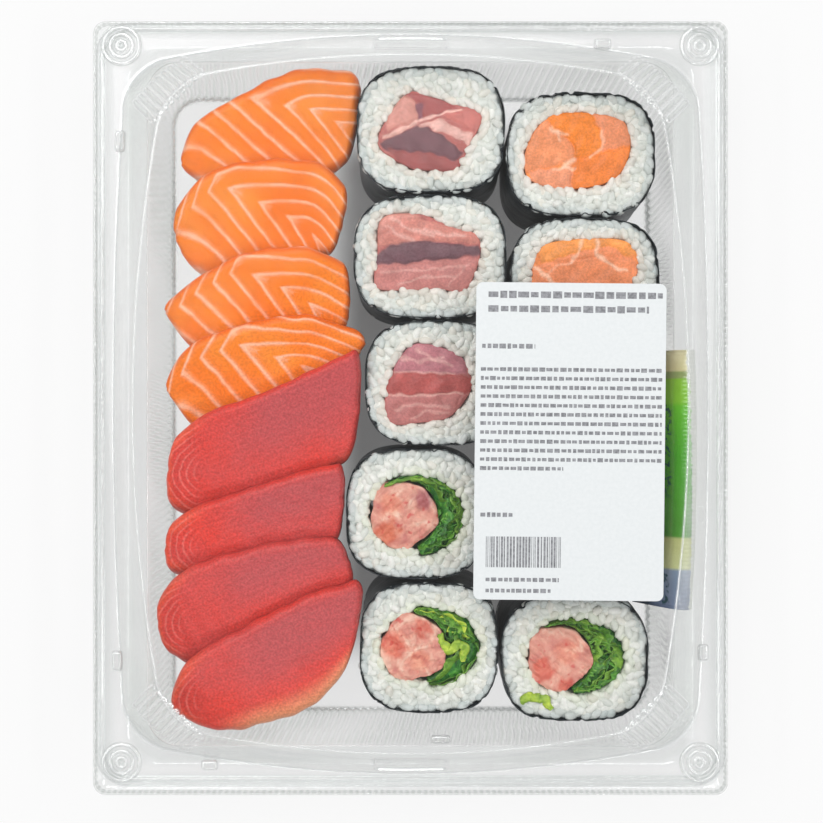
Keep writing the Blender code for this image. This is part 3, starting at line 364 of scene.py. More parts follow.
# Seamless studio paper under the pack
def studioPaper():
    material, tree, shader = newMaterial("studioPaper", Roughness=0.9)
    place = addNode(tree, "ShaderNodeTexCoord").outputs["Object"]
    shader.inputs["Base Color"].default_value = paint("616161")
    shader.inputs["Emission Color"].default_value = (1.0, 1.0, 1.0, 1.0)  # a light table, as the white cut-out suggests
    # the food keeps the light off the paper under it, with a soft edge 20 mm wide
    spot = addNode(tree, "ShaderNodeSeparateXYZ", {0: place})
    shade = []
    for axis, middle, low, high in (("X", 0.02, 0.036, 0.056), ("Y", 0.006, 0.074, 0.096)):
        away = addNode(tree, "ShaderNodeMath", {0: spot.outputs[axis], 1: middle}, operation="SUBTRACT")
        away = addNode(tree, "ShaderNodeMath", {0: away.outputs["Value"]}, operation="ABSOLUTE")
        shade.append(addNode(tree, "ShaderNodeMapRange", {"Value": away.outputs["Value"], "From Min": low,
                                                          "From Max": high, "To Min": 1.0, "To Max": 0.0},
                             interpolation_type="SMOOTHSTEP").outputs["Result"])
    under = addNode(tree, "ShaderNodeMath", {0: shade[0], 1: shade[1]}, operation="MULTIPLY")
    glow = addNode(tree, "ShaderNodeMath", {0: under.outputs["Value"], 1: -0.66, 2: 0.8}, operation="MULTIPLY_ADD")
    link(tree, glow.outputs["Value"], shader.inputs["Emission Strength"])
    return material


sheet = clearSheet()
paper = labelPaper()
ink = printInk()
salmon = salmonFlesh()
tuna = tunaFlesh()
salmonBlock = blockFish("salmonBlock")
tunaBlock = blockFish("tunaBlock")
minced = mincedTuna()
rice = cookedRice()
seaweed = pressedSeaweed()
leaf = freshLeaf()
film = sachetFilm()
studio = studioPaper()
print("materials made")


def gridFaces(rows, columns, wrapRows=False, wrapColumns=True, start=0):
    # quads between neighbouring points of a grid; rows that run up and columns that run anticlockwise face outwards
    index = np.arange(rows * columns).reshape(rows, columns) + start
    right, up = np.roll(index, -1, 1), np.roll(index, -1, 0)
    quads = np.stack([index, right, np.roll(right, -1, 0), up], -1)
    quads = quads if wrapRows else quads[:-1]
    quads = quads if wrapColumns else quads[:, :-1]
    return quads.reshape(-1, 4).tolist()


def newPiece(name, points, faces, material, replaced=(), attributes=None, mergeBy=None):
    # a mesh piece from arrays, with its float or colour attributes, riding on the pack
    mesh = bpy.data.meshes.new(name)
    mesh.from_pydata(np.asarray(points).reshape(-1, 3), [], faces)
    for key, values in (attributes or {}).items():
        values = np.asarray(values, dtype=np.float32)
        kind, entry = ("FLOAT_COLOR", "color") if values.ndim == 2 else ("FLOAT", "value")
        mesh.attributes.new(key, kind, "POINT").data.foreach_set(entry, values.ravel())
    if mergeBy:
        shape = bmesh.new()
        shape.from_mesh(mesh)
        bmesh.ops.remove_doubles(shape, verts=shape.verts, dist=mergeBy)
        bmesh.ops.recalc_face_normals(shape, faces=shape.faces)
        shape.to_mesh(mesh)
        shape.free()
    mesh.shade_smooth()
    mesh.materials.append(material)
    piece = bpy.data.objects.new(name, mesh)
    bpy.context.scene.collection.objects.link(piece)
    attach(piece, "root")
    if replaced:
        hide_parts(*replaced)
    return piece


def thicken(piece, amount, offset=-1.0):
    wall = piece.modifiers.new("wall", "SOLIDIFY")
    wall.thickness = amount
    wall.offset = offset
    return piece


def nodePoints(name):
    # the corner points of a solid of the frame
    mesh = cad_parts[name].data
    spots = np.empty(len(mesh.vertices) * 3, np.float32)
    mesh.vertices.foreach_get("co", spots)
    return spots.reshape(-1, 3).astype(float)


def unevenness(x, y, size, seed, waves=7):
    # sum of sine waves in random directions, with lengths round size, from about -1 to 1
    draw = np.random.default_rng(seed)
    total = np.zeros_like(x)
    for angle, phase, stretch in zip(draw.uniform(0, turn, waves), draw.uniform(0, turn, waves),
                                     draw.uniform(0.7, 1.6, waves)):
        total += np.sin((x * math.cos(angle) + y * math.sin(angle)) * turn * stretch / size + phase)
    return total / math.sqrt(waves) / 1.3


def softStep(value, low, high):
    part = np.clip((value - low) / (high - low), 0, 1)
    return part * part * (3 - 2 * part)


def roundedFrame(halfX, halfY, corner, z, counts, bow=(0.0, 0.0), middleY=0.0):
    # a rounded rectangle, anticlockwise from the right side's upper corner: each corner is an arc with counts[0]
    # points, each end has counts[1] and each side counts[2]; the sides bow out by the square of the distance
    pieces = []
    for index, (signX, signY) in enumerate(((1, 1), (-1, 1), (-1, -1), (1, -1))):
        angles = np.radians(90 * index + np.linspace(0, 90, counts[0], endpoint=False))
        pieces.append(np.column_stack([signX * (halfX - corner) + corner * np.cos(angles),
                                       signY * (halfY - corner) + corner * np.sin(angles)]))
        along = np.linspace(1, -1, counts[1 + index % 2], endpoint=False)[:, None]
        if index % 2 == 0:
            pieces.append(np.hstack([signX * along * (halfX - corner), np.full_like(along, signY * halfY)]))
        else:
            pieces.append(np.hstack([np.full_like(along, signX * halfX), signY * along * (halfY - corner)]))
    x, y = np.vstack(pieces).T
    return np.column_stack([x - bow[0] * (y / halfY) ** 2 * x / halfX,
                            middleY + y - bow[1] * (x / halfX) ** 2 * y / halfY, np.full(len(x), z)])


def closedLoft(rings, caps=True, wrapRows=False):
    # a closed body from rings of equal length
    rings = np.asarray(rings, dtype=float)
    rows, columns = rings.shape[:2]
    faces = gridFaces(rows, columns, wrapRows=wrapRows)
    if caps:
        faces.append(list(range(columns))[::-1])
        faces.append(list(range((rows - 1) * columns, rows * columns)))
    return rings.reshape(-1, 3), faces


def sideways(ring):
    # the unit normals of a ring in the XY plane, pointing outwards
    step = np.roll(ring, -1, 0) - np.roll(ring, 1, 0)
    normal = np.column_stack([step[:, 1], -step[:, 0], np.zeros(len(ring))])
    return normal / np.linalg.norm(normal, axis=1)[:, None]


def ringArc(ring):
    # the running length round a ring, and its whole length
    steps = np.linalg.norm(np.roll(ring, -1, 0) - ring, axis=1)
    return np.concatenate(([0], np.cumsum(steps)[:-1])), steps.sum()


# Tray: rim with a knurled lip, and a straight well with upright ribs. Sizes in mm.
trayShape = {"rim": (101.75, 124.0), "corner": 4.2, "lipZ": 21.5, "rimZ": 25.0, "edge": 0.45, "well": (84.0, 109.2),
             "wellCorner": 10.0, "draft": (3.3, 5.6), "sheet": 0.6, "fillet": 1.3, "middleY": 1.3, "ribPitch": 2.5,
             "ribDepth": 0.34, "knurlPitch": 2.0, "knurlDepth": 0.3, "counts": (24, 340, 440)}


def buildTray():
    t = trayShape
    rimX, rimY = t["rim"]
    wellX, wellY = t["well"]
    rings, grooveShades, creaseGlints = [], [], []
    for z in (t["lipZ"], t["lipZ"] + 0.4, t["lipZ"] + 1.5, t["rimZ"] - t["edge"] - 0.3, t["rimZ"] - t["edge"]):
        ring = roundedFrame(rimX, rimY, t["corner"], z, t["counts"])
        arc, whole = ringArc(ring)
        wave = 0.5 - 0.5 * np.cos(turn * arc / whole * round(whole / t["knurlPitch"]))
        fade = softStep(z, t["rimZ"], t["rimZ"] - t["edge"] - 0.3)
        rings.append(ring - sideways(ring) * (wave * fade * t["knurlDepth"])[:, None])
        # painted light on the knurl's dents: a greyer tint (groove) and a little white haze (crease)
        grooveShades.append(wave)
        creaseGlints.append(0.25 * wave)
    # painted highlights (crease) along the rim's rounded edge and the well's upper edge
    for angle in (30, 60, 90):
        inset = t["edge"] * (1 - math.cos(math.radians(angle)))
        z = t["rimZ"] - t["edge"] * (1 - math.sin(math.radians(angle)))
        rings.append(roundedFrame(rimX - inset, rimY - inset, t["corner"] - inset, z, t["counts"]))
        creaseGlints.append(np.full(len(wave), 0.4 if angle == 60 else 0.15))
    for angle in (0, 30, 60, 90):
        grow = t["edge"] * (1 - math.sin(math.radians(angle)))
        z = t["rimZ"] - t["edge"] * (1 - math.cos(math.radians(angle)))
        rings.append(roundedFrame(wellX + grow, wellY + grow, t["wellCorner"] + grow, z, t["counts"],
                                  middleY=t["middleY"]))
        creaseGlints.append(np.full(len(wave), 0.5 if angle == 30 else 0.1))
    grooveShades += [np.zeros(len(rings[0]))] * (len(rings) - len(grooveShades))
    top, foot = t["rimZ"] - t["edge"], t["sheet"] + t["fillet"]
    spots = [(share, share, top + (foot - top) * share, 0.0) for share in
             (0.05, 0.12, 0.25, 0.4, 0.55, 0.7, 0.85, 0.95, 1.0)]
    spots += [(1.0, 1.0, foot - t["fillet"] * math.sin(math.radians(angle)),
               t["fillet"] * (1 - math.cos(math.radians(angle)))) for angle in (25, 50, 75, 90)]
    spots += [(1.0, 1.0, t["sheet"], t["fillet"] + out) for out in (0.5, 1.2, 3.0)]
    for share, _, z, inset in spots:
        ring = roundedFrame(wellX - t["draft"][0] * share - inset, wellY - t["draft"][1] * share - inset,
                            t["wellCorner"] - inset, z, t["counts"], middleY=t["middleY"])
        arc, whole = ringArc(ring)
        wave = np.cos(turn * arc / whole * round(whole / t["ribPitch"]))
        fade = softStep(share, 0.0, 0.12) * (1 - softStep(inset, 0.6, 3.0))
        rings.append(ring + sideways(ring) * (wave * fade * t["ribDepth"])[:, None])
        # painted shade in the grooves between the ribs, painted highlights on the ridges and along the fillet at the
        # floor, both in patches
        patchy = 0.65 + 0.35 * unevenness(arc, 0 * arc, 60, 4)
        grooveShades.append(softStep(wave, 0.1, 1.0) * fade * patchy)
        edge = 0.9 * softStep(inset, 0.2, 0.8) * (1 - softStep(inset, 1.35, 1.9)) * patchy
        creaseGlints.append(edge + 0.45 * softStep(-wave, 0.5, 1.0) * fade * patchy * (1 - softStep(inset, 0.1, 0.4)))
    points, faces = np.vstack(rings), gridFaces(len(rings), len(rings[0]))
    faces.append(list(range(len(points) - len(rings[0]), len(points))))
    thicken(newPiece("trayShell", points * mm, faces, sheet, ("tray_base",),
                     {"groove": np.clip(np.concatenate(grooveShades), 0, 1),
                      "crease": np.clip(np.concatenate(creaseGlints), 0, 1)}), t["sheet"] * mm)


buildTray()

# Lid: flange with a bead, bowed sloping wall, flat panel, and diagonal flutes at the corners. Sizes in mm.
lidShape = {"flange": (101.0, 122.2), "corner": 11.0, "z": 26.0, "middleY": 1.3, "foot": (95.2, 118.3, 14.0),
            "footBow": (3.8, 10.8), "panel": (86.1, 108.3, 16.0), "panelBow": (10.0, 8.7), "panelZ": 40.3,
            "sheet": 0.5, "shoulder": 2.0, "fluteMiddle": (73.8, 96.7), "flutePitch": 2.6, "fluteHalf": 1.05, "fluteCount": 4,
            "fluteRise": 0.8, "fluteSpan": (-2.6, 9.4), "recess": (11.5, 1.6, 0.9), "counts": (88, 136, 104)}


def fluteReach(x, y):
    # the distance from the diagonal flutes, nine half-round bars to a corner with rounded ends: 1 at a bar's edge
    s = lidShape
    dx, dy = np.abs(x) - s["fluteMiddle"][0], np.abs(y - s["middleY"]) - s["fluteMiddle"][1]
    out, aside = (dx + dy) / math.sqrt(2), (dx - dy) / math.sqrt(2)
    number = np.clip(np.round(aside / s["flutePitch"]), -s["fluteCount"], s["fluteCount"])
    past = np.maximum(s["fluteSpan"][0] + s["fluteHalf"] - out, out - s["fluteSpan"][1] + s["fluteHalf"])
    return np.hypot(aside - number * s["flutePitch"], np.maximum(past, 0)) / s["fluteHalf"]


def buildLid():
    s = lidShape
    rings, creaseGlints = [], []

    def addRing(ring, crease):
        rings.append(ring)
        creaseGlints.append(crease + np.zeros(len(ring)))

    # the turned-down edge, the flange and its bead: inset, rise and how bright the painted highlight on each ring is
    for inset, rise, crease in ((0.0, -0.5, 0.0), (0.0, -0.15, 0.3), (0.15, 0.0, 0.6), (0.45, 0.0, 0.0), (1.6, 0.0, 0.0),
                                (1.9, 0.15, 0.1), (2.2, 0.55, 0.2), (2.5, 0.7, 0.7), (2.8, 0.55, 0.1), (3.1, 0.15, 0.0),
                                (3.4, 0.0, 0.25), (3.7, 0.0, 0.0)):
        addRing(roundedFrame(s["flange"][0] - inset, s["flange"][1] - inset, s["corner"] - inset,
                             s["z"] + rise, s["counts"], middleY=s["middleY"]), crease)
    foot = roundedFrame(*s["foot"], s["z"], s["counts"], s["footBow"], s["middleY"])
    panel = roundedFrame(*s["panel"], s["panelZ"], s["counts"], s["panelBow"], s["middleY"])
    flange = rings[-1]
    for share, crease in ((0.5, 0.0), (0.93, 0.0), (0.97, 0.45)):
        addRing(flange + (foot - flange) * share, crease)
    for share in np.concatenate(([0.02, 0.05, 0.08], np.linspace(0.11, 0.9, 26), [0.93, 0.96, 0.985, 1.0])):
        ring = foot + (panel - foot) * share
        ring[:, 2] -= 0.5 * (1 - softStep(share, 0.0, 0.12)) * (share > 0) * 0.6
        ring[:, 2] += 0.35 * softStep(share, 0.6, 0.93) * (1 - softStep(share, 0.93, 1.0))
        reach = fluteReach(ring[:, 0], ring[:, 1])
        ring[:, 2] += s["fluteRise"] * np.sqrt(np.clip(1 - reach ** 2, 0, 1))
        half, slant, depth = s["recess"]
        inside = 1 - softStep(np.abs(ring[:, 0]), half - slant * share, half - slant * share + 0.8)
        inside = inside * (np.abs(ring[:, 1]) > 90) * softStep(share, 0.12, 0.2) * (1 - softStep(share, 0.62, 0.7))
        ring[:, 2] -= depth * inside
        ring[:, 1] -= np.sign(ring[:, 1]) * 0.5 * depth * inside
        # painted highlights run along the foot, the shoulder, the flutes' edges and the recesses, with faint patches
        # between
        crease = 0.8 * np.exp(-(share / 0.025) ** 2) + 0.9 * np.exp(-((share - 0.992) / 0.012) ** 2)
        crease = crease + 0.75 * np.exp(-((reach - 0.95) / 0.2) ** 2) + 2.4 * inside * (1 - inside)
        crease = crease + 0.12 * np.clip(unevenness(ring[:, 0], ring[:, 1], 24, 61), 0, 1)
        addRing(ring, crease)
    # painted highlights on the flutes' edges and at the panel's rim
    for inset in (0.3, 0.7, 1.1, 1.5, 1.9, 2.3, 2.7, 3.1, 3.6, 6.0):
        ring = roundedFrame(s["panel"][0] - inset, s["panel"][1] - inset, s["panel"][2] - inset,
                            s["panelZ"], s["counts"], s["panelBow"], s["middleY"])
        reach = fluteReach(ring[:, 0], ring[:, 1])
        ring[:, 2] += s["fluteRise"] * np.sqrt(np.clip(1 - reach ** 2, 0, 1))
        addRing(ring, 0.75 * np.exp(-((reach - 0.95) / 0.2) ** 2) + 0.25 * (inset == 0.3))
    points, faces = np.vstack(rings), gridFaces(len(rings), len(rings[0]))
    faces.append(list(range(len(points) - len(rings[0]), len(points))))
    thicken(newPiece("lidShell", points * mm, faces, sheet, ("lid",),
                     {"crease": np.clip(np.concatenate(creaseGlints), 0, 1)}), s["sheet"] * mm)


buildLid()

# Stacking bosses: concentric rings pressed into the flange's corners, and small lugs moulded on the lid. In mm.
bossShape = {"x": 92.3, "y": 114.4, "radius": 6.4, "profile": (
    (0.0, 0.10), (0.9, 0.12), (1.3, 0.5), (1.7, 0.5), (2.1, 0.12), (3.0, 0.12), (3.4, 0.5), (3.8, 0.5), (4.2, 0.12),
    (5.2, 0.14), (5.6, 0.6), (6.0, 0.5), (6.4, 0.05))}
# middle x, y and foot z of each lug, then its length, width and height
lugShape = {"places": ((-92.7, 85.1, 26.05, 3.0, 6.4, 1.4), (-93.6, -80.6, 26.05, 3.0, 6.0, 1.4),
                       (93.3, -78.0, 26.05, 3.0, 5.0, 1.4), (61.3, 116.2, 26.05, 5.0, 3.0, 1.2),
                       (-64.2, -113.9, 26.05, 5.0, 3.0, 1.2), (9.6, -106.3, 23.6, 6.0, 2.4, 0.9))}


def buildBosses():
    b = bossShape
    rows, columns = 40, 72
    reach, height = (np.interp(np.linspace(0, 1, rows), np.linspace(0, 1, len(b["profile"]) - 1), values)[::-1]
                     for values in np.array(b["profile"][1:]).T)
    angles = np.linspace(0, turn, columns, endpoint=False)
    points, faces = np.empty((0, 3)), []
    for signX in (1, -1):
        for signY in (1, -1):
            ring = np.stack([signX * b["x"] + reach[:, None] * np.cos(angles),
                             lidShape["middleY"] + signY * b["y"] + reach[:, None] * np.sin(angles),
                             lidShape["z"] + height[:, None] + 0 * angles], -1)
            faces += gridFaces(rows, columns, start=len(points))
            points = np.vstack([points, ring.reshape(-1, 3)])
            faces.append(list(range(len(points) - columns, len(points))))
    # painted highlights on the tops of the rings
    crease = np.tile(np.repeat(0.55 * softStep(height, 0.3, 0.5), columns), 4)
    thicken(newPiece("lidBosses", points * mm, faces, sheet, (), {"crease": crease}), 0.25 * mm, 1.0)


def buildLugs():
    # small hollow blocks with rounded corners, pressed out of the sheet
    points, faces, creaseGlints = np.empty((0, 3)), [], []
    for x, y, z, long, wide, high in lugShape["places"]:
        # each row: inset, rise and the painted highlight along it
        rows = [(0.0, 0.0, 0.5), (0.1, 0.3 * high, 0.2), (0.25, 0.8 * high, 0.3), (0.45, high, 0.7), (0.8, high, 0.0)]
        for inset, rise, crease in rows:
            ring = roundedFrame(long / 2 - inset, wide / 2 - inset, 0.9 - 0.9 * inset, z + rise, (6, 6, 6))
            creaseGlints.append(np.full(len(ring), crease))
            points = np.vstack([points, ring + [x, y, 0]])
        faces += gridFaces(len(rows), len(ring), start=len(points) - len(rows) * len(ring))
        faces.append(list(range(len(points) - len(ring), len(points))))
    thicken(newPiece("lidLugs", points * mm, faces, sheet, (), {"crease": np.concatenate(creaseGlints)}),
            0.25 * mm, 1.0)


buildBosses()
buildLugs()
print("tray and lid made")

# Label: the frame's own sheet of paper, with grey print as plain bars. Places in mm from the label's middle.
labelShape = {"centre": (49.2, -10.4), "turn": -0.6, "z": 41.0, "rows": (
    # left, right, upper edge, height, longest and shortest bar
    (-25.6, 28.2, 46.9, 3.3, 3.4, 1.6), (-25.6, 24.0, 42.5, 3.3, 3.4, 1.6), (-27.4, -11.0, 30.5, 2.4, 2.2, 1.0),
    (-27.4, -17.5, -21.7, 2.2, 2.0, 1.0), (-25.6, -3.0, -41.8, 2.0, 1.8, 0.9), (-25.6, -5.5, -45.2, 2.0, 1.8, 0.9))}


def buildPrint():
    draw = np.random.default_rng(5)
    rows = list(labelShape["rows"])
    rows += [(-27.7, 28.3 if number < 11 else -2.0, 23.1 - 2.78 * number, 1.9, 2.0, 0.9) for number in range(12)]
    boxes = []
    for left, right, upper, height, longest, shortest in rows:
        x = left
        while x < right:
            width = min(draw.uniform(shortest, longest), right - x)
            trim = height * draw.uniform(0.16, 0.26)
            boxes.append((x, x + width, upper - height + trim, upper - trim))
            x += width + draw.uniform(0.35, 0.6) * (height / 2) ** 0.5
    x = -25.6
    while x < -2.4:
        width = draw.choice((0.22, 0.22, 0.44, 0.66))
        boxes.append((x, x + width, -39.0, -29.5))
        x += width + draw.choice((0.22, 0.3, 0.44))
    boxes = np.array(boxes)
    corners = np.stack([boxes[:, (0, 2)], boxes[:, (1, 2)], boxes[:, (1, 3)], boxes[:, (0, 3)]], 1).reshape(-1, 2)
    angle = math.radians(labelShape["turn"])
    x = labelShape["centre"][0] + corners[:, 0] * math.cos(angle) - corners[:, 1] * math.sin(angle)
    y = labelShape["centre"][1] + corners[:, 0] * math.sin(angle) + corners[:, 1] * math.cos(angle)
    points = np.column_stack([x, y, np.full(len(x), labelShape["z"] + 0.03)])
    newPiece("labelPrint", points * mm, np.arange(len(points)).reshape(-1, 4).tolist(), ink)


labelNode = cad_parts["label"]
labelNode.data.materials.clear()
labelNode.data.materials.append(paper)
buildPrint()
print("label made")


def smoothCurve(points, steps, closed=False):
    # points at the given steps on a Catmull-Rom curve through evenly numbered points
    points = np.asarray(points, dtype=float)
    spans = len(points) if closed else len(points) - 1
    first = np.minimum(np.asarray(steps).astype(int), spans - 1)
    t = (np.asarray(steps) - first)[:, None]
    if closed:
        a, b, c, d = (points[(first + shift) % len(points)] for shift in (-1, 0, 1, 2))
    else:
        a, b, c, d = (points[np.clip(first + shift, 0, spans)] for shift in (-1, 0, 1, 2))
    return 0.5 * (2 * b + (c - a) * t + (2 * a - 5 * b + 4 * c - d) * t ** 2 + (3 * b - a - 3 * c + d) * t ** 3)


# Sachet: a filled pillow of film leaning on the right wall, with a flat crimped seam along its top. In mm.
sachetShape = {"line": ((74.5, 13.5), (78.2, 19.8), (81.6, 26.0), (84.6, 30.6), (87.4, 33.0), (88.8, 32.2), (90.2, 30.6)),
               "thick": (0.7, 3.0, 3.6, 3.2, 1.2, 0.7, 0.6), "run": (-63.5, 18.3), "bow": 0.0006, "bowY": -12.0,
               "ends": (0.25, 0.55, 3.0), "thinnest": 0.4, "rows": 220, "columns": 48}


def buildSachet():
    s = sachetShape
    steps = np.linspace(0, len(s["line"]) - 1, s["columns"])
    line = smoothCurve(s["line"], steps)
    thick = np.maximum(smoothCurve(np.array(s["thick"])[:, None], steps)[:, 0], 0.4)
    ahead = np.gradient(line, axis=0)
    normal = np.column_stack([-ahead[:, 1], ahead[:, 0]]) / np.linalg.norm(ahead, axis=1)[:, None]
    length = np.concatenate(([0], np.cumsum(np.linalg.norm(np.diff(line, axis=0), axis=1))))
    across = length / length[-1]
    along = np.linspace(0, 1, s["rows"])
    y = s["run"][0] + (s["run"][1] - s["run"][0]) * along
    inside = np.minimum(along, 1 - along)
    fill = np.where(inside < 0.012, s["ends"][0], np.minimum(1, s["ends"][1] + s["ends"][2] * inside))
    seam = softStep(across, 0.8, 0.88)
    gridY, gridAcross = np.meshgrid(y, length, indexing="ij")
    # creases run mostly across the pack near its ends and seam, and the crimp is a row of fine ribs
    crease = unevenness(gridY, gridAcross * 0.35, 7.0, 3) * (0.25 + 0.6 * (1 - np.minimum(1, 6 * inside))[:, None])
    crease = crease * (1 - seam) * softStep(across, 0.02, 0.15)
    crimp = 0.14 * np.sin(turn * gridY / 1.3) * seam * (1 - softStep(across, 0.97, 1.0))
    half = np.maximum(thick[None] * fill[:, None], s["thinnest"]) / 2
    bow = s["bow"] * 1000 * ((y - s["bowY"]) / 1000) ** 2 * 1000
    sides = []
    for side in (1, -1):
        reach = side * (half - 0.18 * np.abs(crease)) + 0.35 * crease * (side > 0) * 0.4 + crimp
        sides.append(np.stack([line[:, 0] + normal[:, 0] * reach - bow[:, None], gridY,
                               line[:, 1] + normal[:, 1] * reach], -1))
    rings = np.concatenate([sides[0], sides[1][:, ::-1]], 1)
    points, faces = closedLoft(rings)
    shares = np.tile(np.concatenate([across, across[::-1]]), s["rows"])
    newPiece("saucePack", points * mm, faces, film, ("sachet",),
             {"along": np.repeat(along, 2 * s["columns"]), "across": shares})


buildSachet()
print("sachet made")

# Rolls: middle x and y, width and depth in mm, then the filling and the seed of its chance details
rollTop, rollFoot, fan, nori = 28.6, 1.0, (0.015, 0.045), 0.3
rolls = {
    "m1": (6.4, 88.6, 47.6, 40.4, "tuna", 11), "m2": (6.2, 48.2, 49.0, 39.6, "tuna", 12),
    "m3": (8.1, 7.9, 45.6, 40.2, "tuna", 13), "m4": (1.6, -33.6, 44.6, 41.8, "minced", 14),
    "m5": (5.8, -76.3, 44.4, 41.6, "minced", 15), "r1": (54.2, 80.8, 47.6, 39.6, "salmon", 16),
    "r2": (55.4, 40.9, 47.6, 39.6, "salmon", 17), "r3": (52.6, 0.8, 42.0, 39.6, "salmon", 18),
    "r4": (50.6, -39.2, 43.0, 39.4, "minced", 19), "r5": (52.2, -79.6, 47.0, 40.2, "minced", 20)}
# outlines of the blocks of fish, in mm from the roll's middle
blocks = {
    "m1": ((-7.2, 12.0), (-0.2, 10.8), (8.3, 8.0), (14.6, 6.6), (16.5, 3.5), (12.8, -4.1), (8.3, -12.4),
           (-0.2, -12.7), (-7.2, -11.7), (-16.6, -5.1), (-14.1, 3.5)),
    "m2": ((-15.3, 12.2), (-3.2, 13.6), (6.9, 9.6), (14.5, 7.2), (16.1, 0.9), (11.4, -10.5), (2.2, -10.2),
           (-7.0, -10.6), (-17.2, -9.6), (-16.8, 0.9)),
    "m3": ((-9.5, 10.8), (-2.9, 12.6), (6.9, 9.2), (10.4, 4.4), (11.2, -2.2), (4.5, -10.6), (-5.0, -12.6),
           (-14.6, -12.4), (-15.9, -1.3)),
    "r1": ((-9.7, 12.2), (0.4, 13.4), (12.8, 11.0), (15.9, 3.7), (13.4, -4.9), (7.0, -9.3), (-4.4, -10.9),
           (-15.1, -8.7), (-18.0, -3.0), (-16.0, 5.5)),
    "r2": ((-13.2, 10.7), (-1.8, 13.0), (12.6, 12.4), (17.2, 6.0), (15.0, -2.0), (8.0, -10.5), (-6.0, -11.5),
           (-15.6, -8.0), (-16.8, 2.1)),
    "r3": ((-11.0, 10.0), (1.0, 12.0), (11.5, 9.0), (13.6, 0.0), (10.5, -9.0), (-2.0, -11.0), (-12.0, -8.5),
           (-14.0, 1.0))}
# minced tuna with leaves: hole's middle and half sizes, disc's middle and radius, and how far round the leaves go
mincedRolls = {"m4": (0.0, -0.8, 15.8, 13.2, -4.0, -0.4, 10.8, 124), "m5": (-0.4, 0.0, 16.8, 12.8, -5.0, -0.2, 10.6, 88),
               "r4": (-0.2, 0.0, 14.8, 12.4, -3.6, 0.0, 10.2, 84), "r5": (-0.3, 0.0, 16.8, 12.4, -5.0, -0.2, 10.3, 114)}
